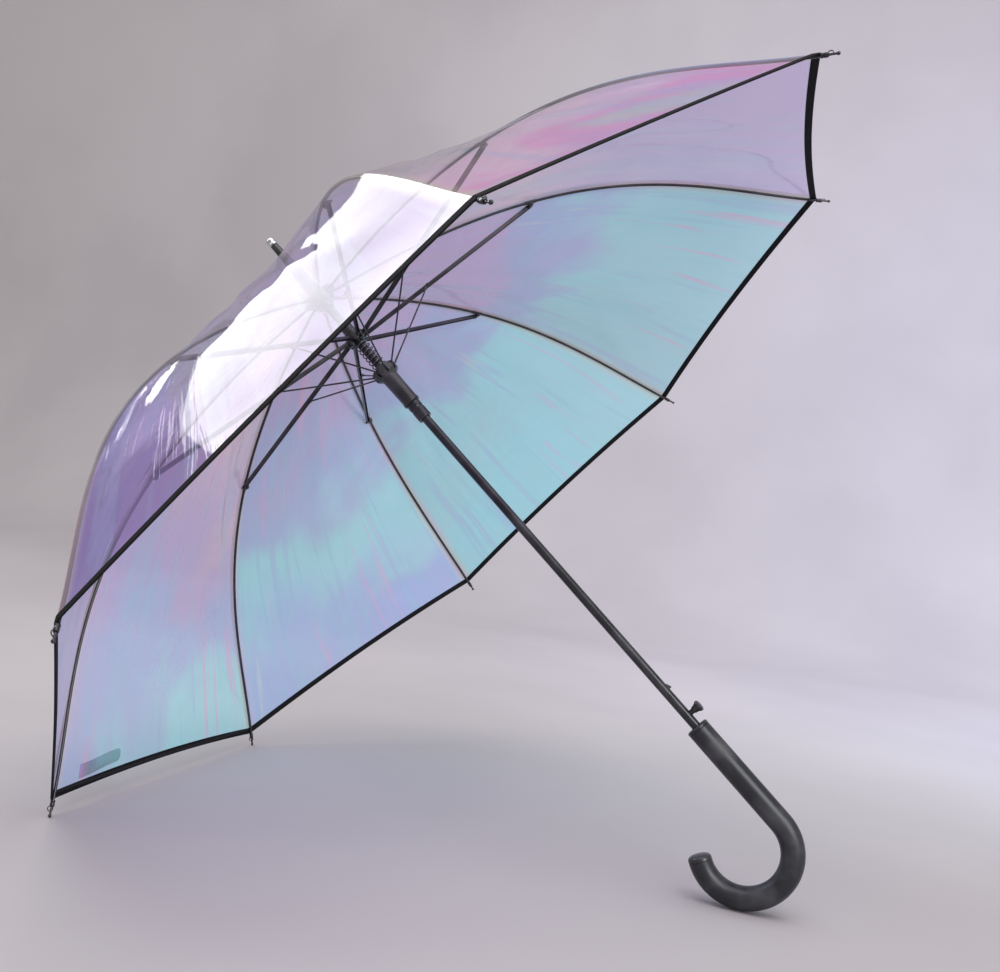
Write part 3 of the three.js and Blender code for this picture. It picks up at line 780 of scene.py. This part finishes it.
snapProfile = [
    (0, 0),
    (0.0055, 0),
    (0.0055, 0.0006),
    (0.0046, 0.0011),
    (0.0026, 0.0012),
    (0.0022, 0.0020),
    (0, 0.0022),
]


def strapPlace(across, distance, extra=0.0):
    share = 1 - (strap["hemGap"] + distance) / filmLength
    run = (across - strap["start"]) / (strap["end"] - strap["start"])
    rise = math.sin(math.pi / 2 * max(0.0, min(1.0, run))) ** 2
    lift = strap["foot"] + strap["bulge"] * rise + extra
    point = filmPoint(share, across)
    point = point + surfaceNormal(share, across) * lift
    return ribFrame(1) @ Vector((point.x, -point.y, point.z))


def buildStrap():
    def outline(u, v):
        rounding = 0.5 * max(0.0, (u - 0.93) / 0.07) ** 2
        side = v - 0.5
        across = strap["start"] + (strap["end"] - strap["start"]) * u
        return strapPlace(across, strap["width"] * (0.5 + side * (1 - rounding)))

    band = gridPiece(36, 6, outline, lambda u, v: (1 + 0.3 * u, 0.8 + 0.1 * v))
    thicken(band, strap["thickness"])
    applyModifiers(band)
    tidyNormals(band, 50)
    finishPiece(band, "closureStrap", strapFilm, None, ["closure_strap"])
    foldWith(band)
    across = strap["end"] - 0.04
    foot = strapPlace(across, strap["width"] / 2, 0.0009)
    top = strapPlace(across, strap["width"] / 2, 0.01)
    dome = turnedPiece(snapProfile, steps=32, bevel=0.0002)
    turnTo = (top - foot).to_track_quat("Z", "Y").to_matrix().to_4x4()
    place = Matrix.Translation(foot) @ turnTo
    finishPiece(dome, "strapSnap", mouldedBlack, None, ["strap_snap"], place)
    foldWith(dome)


strapHues = [(0.0, (0.22, 0.22, 0.10)), (1.0, (0.34, 0.32, 0.16))]
strapFilm = filmMaterial("strapFilm", strapHues, (0.7, 0.85), 0.2)
buildStrap()
print("closure strap ready")

linkage = {
    "jointRadius": 0.25,
    "clipDrop": 0.0021,
    "clipRadius": 0.0033,
    "eyeRadius": 0.0024,
    "pinLength": 0.015,
    "pinRadius": 0.0010,
    "ballRadius": 0.0016,
    "stretcherSide": 0.0034,
    "wireShare": 0.37,
}


crimpProfile = [
    (0.0011, 0),
    (0.0021, 0),
    (0.0023, 0.0012),
    (0.0019, 0.0024),
    (0.0023, 0.0036),
    (0.0020, 0.0062),
    (0.0011, 0.0064),
]


def buildRib():
    way = slopeWay(canopy["tipSlope"])
    pinEnd = ribEnd + way * linkage["pinLength"]
    bar = bezierTube(
        [
            (ribRoot, ribRoot - slopeWay(canopy["rootSlope"]) * 0.02, rootHandle),
            (ribEnd, endHandle, ribEnd + way * 0.005),
        ],
        canopy["ribRadius"],
        resolution=72,
        sides=4,
    )
    pin = bezierTube(
        [
            (ribEnd - way * 0.012, ribEnd - way * 0.014, ribEnd - way * 0.008),
            (pinEnd, pinEnd - way * 0.004, pinEnd + way * 0.002),
        ],
        linkage["pinRadius"],
        resolution=10,
        sides=3,
    )
    deselectAll()
    bpy.ops.mesh.primitive_uv_sphere_add(
        segments=20, ring_count=12, radius=linkage["ballRadius"], location=pinEnd
    )
    ball = bpy.context.object
    # the sleeve that the pin is crimped in, and the loop that ties the film's corner to it
    crimp = turnedPiece(crimpProfile, steps=20, bevel=0.00015)
    turnTo = way.to_track_quat("Z", "Y").to_matrix().to_4x4()
    settle(crimp, Matrix.Translation(ribEnd + way * 0.001) @ turnTo)
    loopPlace = pinEnd - way * 0.0052 + Vector((0, 0, 0.0015))
    loop = wireLoop(loopPlace, 0.0023, 0.00045, (math.radians(64), 0, math.radians(20)), 8)
    eye = drum(linkage["eyeRadius"], 0.003, (pivotRadius, 0, pivotHeight))
    run = ribPlace(linkage["jointRadius"])
    point, ribWay = alongRib(run)
    under = Vector((ribWay.z, 0, -ribWay.x))
    joint = point + under * linkage["clipDrop"]
    # the clip folded round the rib: two cheeks, a saddle and a rivet
    saddle = bezierTube(
        [
            (point - ribWay * 0.007, point - ribWay * 0.009, point - ribWay * 0.004),
            (point + ribWay * 0.007, point + ribWay * 0.004, point + ribWay * 0.009),
        ],
        0.0019,
        resolution=6,
        sides=4,
    )
    cheek = drum(linkage["clipRadius"], 0.0029, joint)
    rivet = drum(0.0011, 0.0104, joint + Vector((0, 0.0022, 0)), bevel=0.0003, sides=16)
    head = drum(0.0019, 0.0008, joint + Vector((0, -0.0019, 0)), bevel=0.0003, sides=20)
    return smoothed(joined(bar, pin, ball, crimp, loop, eye, saddle, cheek, rivet, head), 50)


def copies(piece, label, cadName, material):
    # one finished piece for each rib, each with its own mesh
    for k in ribNumbers:
        double = piece if k == canopy["ribs"] else copyOf(piece)
        node = f"{cadName}_{k}"
        finishPiece(double, f"{label}_{k}", material, node, [node], ribFrame(k))


copies(buildRib(), "ribBar", "rib", paintedSteel)


def ribJointPlace():
    point, way = alongRib(ribPlace(linkage["jointRadius"]))
    return point + Vector((way.z, 0, -way.x)) * linkage["clipDrop"]


def localOf(k, name):
    return ribFrame(k).inverted() @ Vector(jointOf[name]["pos_m"])


def barFrame(start, end):
    # x along the bar from start to end, y to the side
    way = (end - start).normalized()
    side = Vector((0, 1, 0))
    up = way.cross(side).normalized()
    turned = Matrix((way, side, up)).transposed().to_4x4()
    return Matrix.Translation(start) @ turned, (end - start).length


def buildStretcher():
    start = localOf(1, "stretcher_1_pivot")
    end = ribJointPlace()
    end.y = start.y
    matrix, length = barFrame(start, end)
    half, top, wall = 0.0016, 0.0021, 0.0006
    bar = box((length / 2, 0, 0), (length - 0.002, 2 * half, 2 * top))
    only(bar)
    bpy.ops.object.mode_set(mode="EDIT")
    bpy.ops.mesh.select_all(action="DESELECT")
    bpy.ops.object.mode_set(mode="OBJECT")
    for face in bar.data.polygons:
        face.select = abs(face.normal.z) > 0.9 and face.center.z * matrixSign > 0
    bpy.ops.object.mode_set(mode="EDIT")
    bpy.ops.mesh.inset(thickness=wall, depth=0)
    bpy.ops.mesh.extrude_region_move(TRANSFORM_OT_translate={"value": (0, 0, -matrixSign * (2 * top - wall))})
    bpy.ops.object.mode_set(mode="OBJECT")
    soften(bar, 0.0003)
    eyes = [drum(0.0022, 0.0032, (x, 0, 0)) for x in (0, length)]
    wirePlace = length * linkage["wireShare"]
    tie = drum(0.0010, 0.0072, (wirePlace, -0.0014, 0), bevel=0.0003, sides=16)
    head = drum(0.0017, 0.0006, (wirePlace, 0.0018, 0), bevel=0.0002, sides=16)
    piece = smoothed(joined(bar, *eyes, tie, head), 40)
    settle(piece, matrix)
    return piece


# the channel of a stretcher opens downwards, whichever way barFrame's z points
matrixSign = 1 if barFrame(Vector(), Vector((1, 0, 0)))[0].to_3x3().col[2].z < 0 else -1
copies(buildStretcher(), "stretcherBar", "stretcher", paintedSteel)


def buildWire():
    start = localOf(1, "wire_1_pivot")
    ringPoint = localOf(1, "stretcher_1_pivot")
    end = ringPoint.lerp(ribJointPlace(), linkage["wireShare"])
    end.y = start.y
    matrix, length = barFrame(start, end)
    eyeReach = 0.0014
    rod = bezierTube(
        [
            ((eyeReach, 0, 0), (0, 0, 0), (0.02, 0, 0.0006)),
            ((length - eyeReach, 0, 0), (length - 0.02, 0, -0.0006), (length, 0, 0)),
        ],
        0.0009,
        resolution=20,
        sides=3,
    )
    loops = [wireLoop((x, 0, 0), eyeReach, 0.0007, (math.pi / 2, 0, 0), 10) for x in (0, length)]
    piece = smoothed(joined(rod, *loops), 50)
    settle(piece, matrix)
    return piece


copies(buildWire(), "strutWire", "wire", paintedSteel)
print("ribs, stretchers and wires ready")


bore = 0.00505
notchTop = crownHeight + 0.0012
capBase = crownHeight + canopy["filmLift"] + 0.00085
ferruleBase = capBase + 0.0027
ferruleTop = 0.342
ringHeight = localOf(1, "stretcher_1_pivot").z
ringRadius = localOf(1, "stretcher_1_pivot").x
ringHalf = 0.0042
flangeHeight = localOf(1, "wire_1_pivot").z
flangeRadius = localOf(1, "wire_1_pivot").x


slotReach = 0.06   # how far out from the shaft a slot's cutter goes


def slotted(piece, inner, centre, width, low, high):
    # one cut beside each rib
    for k in ribNumbers:
        place = ((inner + slotReach) / 2, centre, (low + high) / 2)
        tool = box(place, (slotReach - inner, width, high - low))
        settle(tool, Matrix.Rotation(halfStep * (2 * k - 1), 4, "Z"))
        cutAway(piece, tool)
    smoothed(piece, 35)


def turnedOnShaft(name, profile, material, body, node, bevel=0.0004, slots=None):
    piece = turnedPiece(profile, 56, bevel)
    if slots:
        slotted(piece, *slots)
    finishPiece(piece, name, material, body, [node], shaftFrame)


turnedOnShaft(
    "crownDisc",
    [
        (bore, capBase),
        (pivotRadius, capBase),
        (0.0199, capBase - 0.0005),
        (0.0200, capBase + 0.0003),
        (0.0186, capBase + 0.0010),
        (0.0150, capBase + 0.0013),
        (0.0142, capBase + 0.0019),
        (0.0094, capBase + 0.0024),
        (bore, capBase + 0.0024),
    ],
    mouldedBlack, "root", "crown_cap", bevel=0.0003,
)
turnedOnShaft(
    "ribNotch",
    [
        (bore, notchTop - 0.015),
        (bore + 0.0026, notchTop - 0.015),
        (bore + 0.0026, notchTop - 0.0085),
        (pivotRadius + 0.002, notchTop - 0.008),
        (pivotRadius + 0.002, notchTop),
        (bore, notchTop),
    ],
    mouldedBlack, "root", "top_notch",
    slots=(pivotRadius - 0.0028, 0, 0.0036, notchTop - 0.0095, notchTop + 0.002),
)
turnedOnShaft(
    "ferruleSpike",
    [
        (0, ferruleBase + 0.0303),
        (bore, ferruleBase + 0.0303),
        (bore, ferruleBase),
        (bore + 0.0029, ferruleBase),
        (bore + 0.0031, ferruleBase + 0.0014),
        (bore + 0.0023, ferruleBase + 0.0026),
        (bore + 0.0022, ferruleBase + 0.008),
        (bore + 0.0013, ferruleBase + 0.034),
        (0.0046, ferruleTop - 0.022),
        (0.0042, ferruleTop - 0.0095),
        (0, ferruleTop - 0.0095),
    ],
    mouldedBlack, "root", "ferrule",
)
turnedOnShaft(
    "ferruleRing",
    [
        (0, ferruleTop - 0.0090),
        (0.0046, ferruleTop - 0.0090),
        (0.0046, ferruleTop - 0.0066),
        (0.0042, ferruleTop - 0.0060),
        (0.0042, ferruleTop - 0.0052),
        (0.0046, ferruleTop - 0.0046),
        (0.0045, ferruleTop - 0.0012),
        (0.0034, ferruleTop),
        (0, ferruleTop),
    ],
    brightSteel, "root", "ferrule_tip", bevel=0.0003,
)
turnedOnShaft(
    "stretcherRing",
    [
        (bore, ringHeight - ringHalf),
        (ringRadius + 0.0014, ringHeight - ringHalf),
        (ringRadius + 0.0022, ringHeight - 0.0034),
        (ringRadius + 0.0022, ringHeight + 0.0034),
        (ringRadius + 0.0014, ringHeight + ringHalf),
        (bore, ringHeight + ringHalf),
    ],
    mouldedBlack, "upper_ring", "upper_ring",
    slots=(ringRadius - 0.0026, linkage["stretcherSide"], 0.0038, ringHeight - 0.006, ringHeight + 0.006),
)
collarLow = ringHeight + 0.0045
collarRadius = ringRadius - 0.0026
turnedOnShaft(
    "ringSleeve",
    [
        (bore, collarLow),
        (collarRadius, collarLow),
        (collarRadius, collarLow + 0.006),
        (collarRadius - 0.0006, collarLow + 0.0068),
        (collarRadius - 0.0006, collarLow + 0.0172),
        (collarRadius, collarLow + 0.018),
        (collarRadius - 0.001, collarLow + 0.020),
        (bore, collarLow + 0.020),
    ],
    mouldedBlack, "upper_ring", "ring_collar",
)

runner = {
    "sleeveLength": 0.046,
    "radius": 0.00915,
    "cup": 0.00785,
    "cupFloor": 0.003,
    "collarLength": 0.021,
    "collarRadius": 0.00745,
}
sleeveLow = flangeHeight - runner["sleeveLength"]
turnedOnShaft(
    "runnerBody",
    [
        (bore, sleeveLow),
        (runner["radius"] - 0.001, sleeveLow),
        (runner["radius"], sleeveLow + 0.0012),
        (runner["radius"], sleeveLow + 0.004),
        (runner["radius"] - 0.0005, sleeveLow + 0.0048),
        (runner["radius"] - 0.0003, sleeveLow + 0.026),
        (runner["radius"], flangeHeight - 0.0085),
        (flangeRadius + 0.0016, flangeHeight - 0.0046),
        (flangeRadius + 0.0022, flangeHeight - 0.0038),
        (flangeRadius + 0.0022, flangeHeight + 0.0036),
        (flangeRadius + 0.0016, flangeHeight + 0.0042),
        (runner["cup"], flangeHeight + 0.0042),
        (runner["cup"], sleeveLow + runner["cupFloor"]),
        (bore, sleeveLow + runner["cupFloor"]),
    ],
    mouldedBlack, "runner", "runner_sleeve",
    slots=(flangeRadius - 0.0022, 0.0006, 0.0024, flangeHeight - 0.0058, flangeHeight + 0.006),
)
collarTop = sleeveLow - 0.0003
turnedOnShaft(
    "runnerTube",
    [
        (bore, collarTop - runner["collarLength"]),
        (runner["collarRadius"] - 0.0006, collarTop - runner["collarLength"]),
        (runner["collarRadius"], collarTop - runner["collarLength"] + 0.0006),
        (runner["collarRadius"], collarTop - 0.009),
        (runner["collarRadius"] - 0.0005, collarTop - 0.0084),
        (runner["collarRadius"] - 0.0005, collarTop - 0.0070),
        (runner["collarRadius"], collarTop - 0.0064),
        (runner["collarRadius"], collarTop),
        (bore, collarTop),
    ],
    paintedSteel, "runner", "runner_collar",
)
print("turned pieces ready")

spring = {"turns": 16, "wire": 0.00075, "radius": 0.0071, "steps": 20, "seat": 0.0011, "closed": 0.58}


def buildSpring():
    low = sleeveLow + runner["cupFloor"] + spring["seat"]
    high = ringHeight - ringHalf - spring["seat"]
    count = spring["turns"] * spring["steps"]
    places = []
    for i in range(count + 1):
        angle = 2 * math.pi * i / spring["steps"]
        height = low + (high - low) * i / count
        x, y = math.cos(angle), math.sin(angle)
        places.append((spring["radius"] * x, spring["radius"] * y, height))
    coil = polyTube(places, spring["wire"], 3)
    finishPiece(coil, "mainSpring", oiledSteel, "upper_ring", ["main_spring"], shaftFrame)
    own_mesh(coil)


buildSpring()


handle = {
    "radius": 0.0114,
    "top": -0.335,
    "straight": 0.1145,
    "hook": 0.0434,
    "sweep": 207,
}


def gripPlaces(first=0.0):
    last = handle["straight"] + math.radians(handle["sweep"]) * handle["hook"]
    steps = 110
    places = []
    for i in range(steps + 1):
        run = first + (last - first) * i / steps
        if run <= handle["straight"]:
            places.append(Vector((0, 0, handle["top"] - run)))
        else:
            angle = (run - handle["straight"]) / handle["hook"]
            x = handle["hook"] * (1 - math.cos(angle))
            z = handle["top"] - handle["straight"] - handle["hook"] * math.sin(angle)
            places.append(Vector((x, 0, z)))
    return places


def buildHandle():
    bar = polyTube(gripPlaces(0.004), handle["radius"], 7)
    mouth = turnedPiece(
        [
            (bore, handle["top"] - 0.012),
            (handle["radius"] - 0.0004, handle["top"] - 0.012),
            (handle["radius"] - 0.0001, handle["top"] - 0.0052),
            (handle["radius"] - 0.0006, handle["top"] - 0.0046),
            (handle["radius"] - 0.0006, handle["top"] - 0.0038),
            (handle["radius"], handle["top"] - 0.0032),
            (handle["radius"], handle["top"] - 0.0012),
            (handle["radius"] - 0.0012, handle["top"]),
            (bore + 0.0012, handle["top"]),
            (bore, handle["top"] - 0.0012),
        ],
        56,
        0.0003,
    )
    piece = smoothed(joined(bar, mouth), 40)
    finishPiece(piece, "hookGrip", softGrip, "root", ["handle_grip"], shaftFrame)
    cap = turnedPiece(
        [
            (0, 0.0003),
            (handle["radius"], 0.0003),
            (handle["radius"], 0.0012),
            (handle["radius"] * 0.975, 0.0028),
            (handle["radius"] * 0.88, 0.0042),
            (handle["radius"] * 0.70, 0.0052),
            (handle["radius"] * 0.40, 0.0058),
            (0, 0.006),
        ],
        56,
        0.0002,
    )
    end = gripPlaces()[-1]
    sweep = math.radians(handle["sweep"])
    turnTo = Matrix.Rotation(math.pi - sweep, 4, "Y")
    place = shaftFrame @ Matrix.Translation(end) @ turnTo
    finishPiece(cap, "gripEndCap", mouldedBlack, "root", ["handle_end_cap"], place)


buildHandle()

button = {
    "height": -0.322,
    "reach": 0.01725,
    "head": 0.0056,
    "stem": 0.0026,
    "neck": 0.00755,
    "root": 0.00305,
    "hole": 0.0029,
}


def buildButton():
    head = button["head"]
    knob = turnedPiece(
        [
            (0, button["root"]),
            (button["stem"], button["root"]),
            (button["stem"], button["neck"]),
            (head * 0.62, button["neck"] + 0.001),
            (head * 0.75, button["neck"] + 0.0045),
            (head, button["reach"] - 0.0032),
            (head, button["reach"] - 0.0012),
            (head * 0.72, button["reach"] - 0.0002),
            (head * 0.4, button["reach"] - 0.0006),
            (0, button["reach"] - 0.0009),
        ],
        40,
        0.0003,
    )
    place = Matrix.Translation((0, 0, button["height"]))
    matrix = shaftFrame @ place @ Matrix.Rotation(-math.pi / 2, 4, "Y")
    finishPiece(knob, "releaseButton", mouldedBlack, "push_button", ["push_button"], matrix)


buildButton()


shaft = {
    "inner": 0.00405,
    "outer": 0.00475,
    "inGrip": 0.07,
    "inFerrule": 0.030,
    "catchSlot": (0.009, 0.0036, 0.0068),
}


def buildShaft():
    inner, outer = shaft["inner"], shaft["outer"]
    low = handle["top"] - shaft["inGrip"]
    high = ferruleBase + shaft["inFerrule"]
    tube = turnedPiece([(inner, low), (outer, low), (outer, high), (inner, high)], 48)
    hole = (-0.005, 0, button["height"])
    cutAway(tube, drum(button["hole"], 0.006, hole, along="X", bevel=0.0001, sides=32))
    catchLow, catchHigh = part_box("lower_catch")
    middle = shaftFrame.inverted() @ ((catchLow + catchHigh) / 2)
    cutAway(tube, box((-0.005, 0, middle.z), shaft["catchSlot"]))
    smoothed(tube, 35)
    finishPiece(tube, "shaftTube", paintedSteel, "root", ["shaft"], shaftFrame)


buildShaft()

for name, material in (("lower_catch", oiledSteel), ("catch_spring", oiledSteel)):
    node = frame["nodes"][name]
    node.data.materials.clear()
    node.data.materials.append(material)
print("handle, button and shaft ready")

studio = {
    "worldTone": (0.76, 0.73, 0.735),
    "worldStrength": 0.66,
    "lens": 40.54,
    "cameraPlace": (0.3079, -1.0966, 0.3444),
    "cameraLook": (-0.2663, 0.9638, 0.0150),
    "cameraUp": (-0.1364, -0.0531, 0.9892),
    "sweepLength": 12,
    "sweepFront": -5,
    "sweepWidth": 16,
    "sweepBend": 2.2,
    "paperTones": [(0.3, (0.60, 0.575, 0.585)), (0.7, (0.68, 0.655, 0.66))],
}
softbox = {"rib": 3, "share": 0.85, "across": 0.35, "distance": 1.25, "size": (0.6, 0.8), "power": 9}


def buildStage():
    deselectAll()
    bpy.ops.mesh.primitive_grid_add(x_subdivisions=2, y_subdivisions=60, size=1)
    sweep = bpy.context.object
    bend = studio["sweepBend"]
    for vertex in sweep.data.vertices:
        run = (vertex.co.y + 0.5) * studio["sweepLength"] + studio["sweepFront"]
        x = vertex.co.x * studio["sweepWidth"]
        angle = run - bend
        if angle < 0:
            vertex.co = (x, run, 0)
        elif angle < math.pi / 2:
            vertex.co = (x, bend + math.sin(angle), 1 - math.cos(angle))
        else:
            vertex.co = (x, bend + 1, 1 + angle - math.pi / 2)
    bpy.ops.object.shade_smooth()
    sweep.name = "studioSweep"
    sweep.location.z = -0.0004
    paper, tree = newMaterial("studioPaper")
    where = addNode(tree, "TexCoord").outputs["Object"]
    mottle = addNode(tree, "TexNoise", {"Vector": where, "Scale": 1.1, "Detail": 4}).outputs["Fac"]
    tone = rampOf(tree, mottle, studio["paperTones"])
    feed(tree, tree.nodes["Principled BSDF"], {"Base Color": tone, "Roughness": 0.85})
    sweep.data.materials.append(paper)
    sweep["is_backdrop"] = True


def areaLight(name, place, target, size, power, tone=(1, 1, 1)):
    deselectAll()
    bpy.ops.object.light_add(type="AREA", location=place)
    lamp = bpy.context.object
    lamp.name = name
    lamp.data.shape = "RECTANGLE"
    lamp.data.size, lamp.data.size_y = size
    lamp.data.energy = power
    lamp.data.color = tone
    lamp.rotation_euler = (Vector(target) - Vector(place)).to_track_quat("-Z", "Y").to_euler()
    return lamp


buildStage()
eye = Vector(studio["cameraPlace"])


def mirrored(rib, share, across):
    # the way the camera's line of sight leaves the film on the right of a rib
    over = Matrix.Diagonal((1, -1, 1))
    place = ribFrame(rib) @ (over @ filmPoint(share, across))
    outward = (ribFrame(rib).to_3x3() @ (over @ surfaceNormal(share, across))).normalized()
    sight = (place - eye).normalized()
    return place, (sight - outward * 2 * sight.dot(outward)).normalized()


boxPlace, boxWay = mirrored(softbox["rib"], softbox["share"], softbox["across"])
boxCentre = boxPlace + boxWay * softbox["distance"]
key = areaLight("keySoftbox", boxCentre, boxPlace, softbox["size"], softbox["power"])
lit = bpy.data.collections.new("umbrellaOnly")
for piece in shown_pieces():
    lit.objects.link(piece)
# the softbox shows as a reflection in the film only: it neither washes it out nor lights the floor
key.light_linking.receiver_collection = lit
key.visible_diffuse = False
areaLight("overheadPanel", (0.2, -0.6, 3.2), (0.2, 0.8, 0), (3.0, 3.0), 58, (1.0, 0.98, 1.0))
fill = areaLight("sideFill", (2.4, -2.0, 1.6), (0, 0, 0.3), (1.6, 2.0), 75, (0.92, 0.95, 1.0))
fill.light_linking.receiver_collection = lit
areaLight("blueGlow", (1.5, 0.9, 1.3), (1.3, 3.0, 0.3), (1.0, 1.0), 18, (0.55, 0.72, 1.0))
areaLight("violetGlow", (0.9, 1.0, 1.6), (0.9, 3.2, 1.1), (0.8, 0.8), 8, (0.78, 0.58, 1.0))

world = bpy.data.worlds.new("studioAir")
bpy.context.scene.world = world
world.use_nodes = True
world.node_tree.nodes["Background"].inputs["Color"].default_value = (*studio["worldTone"], 1)
world.node_tree.nodes["Background"].inputs["Strength"].default_value = studio["worldStrength"]

deselectAll()
bpy.ops.object.camera_add(location=studio["cameraPlace"])
camera = bpy.context.object
backWay = -Vector(studio["cameraLook"]).normalized()
upWay = Vector(studio["cameraUp"]).normalized()
rightWay = upWay.cross(backWay).normalized()
upWay = backWay.cross(rightWay).normalized()
camera.rotation_mode = "QUATERNION"
camera.rotation_quaternion = Matrix((rightWay, upWay, backWay)).transposed().to_quaternion()
camera.data.lens = studio["lens"]
camera.data.sensor_width = 36
camera.data.clip_start = 0.01
bpy.context.scene.view_settings.view_transform = "Standard"
bpy.context.scene.camera = camera
print("studio ready")
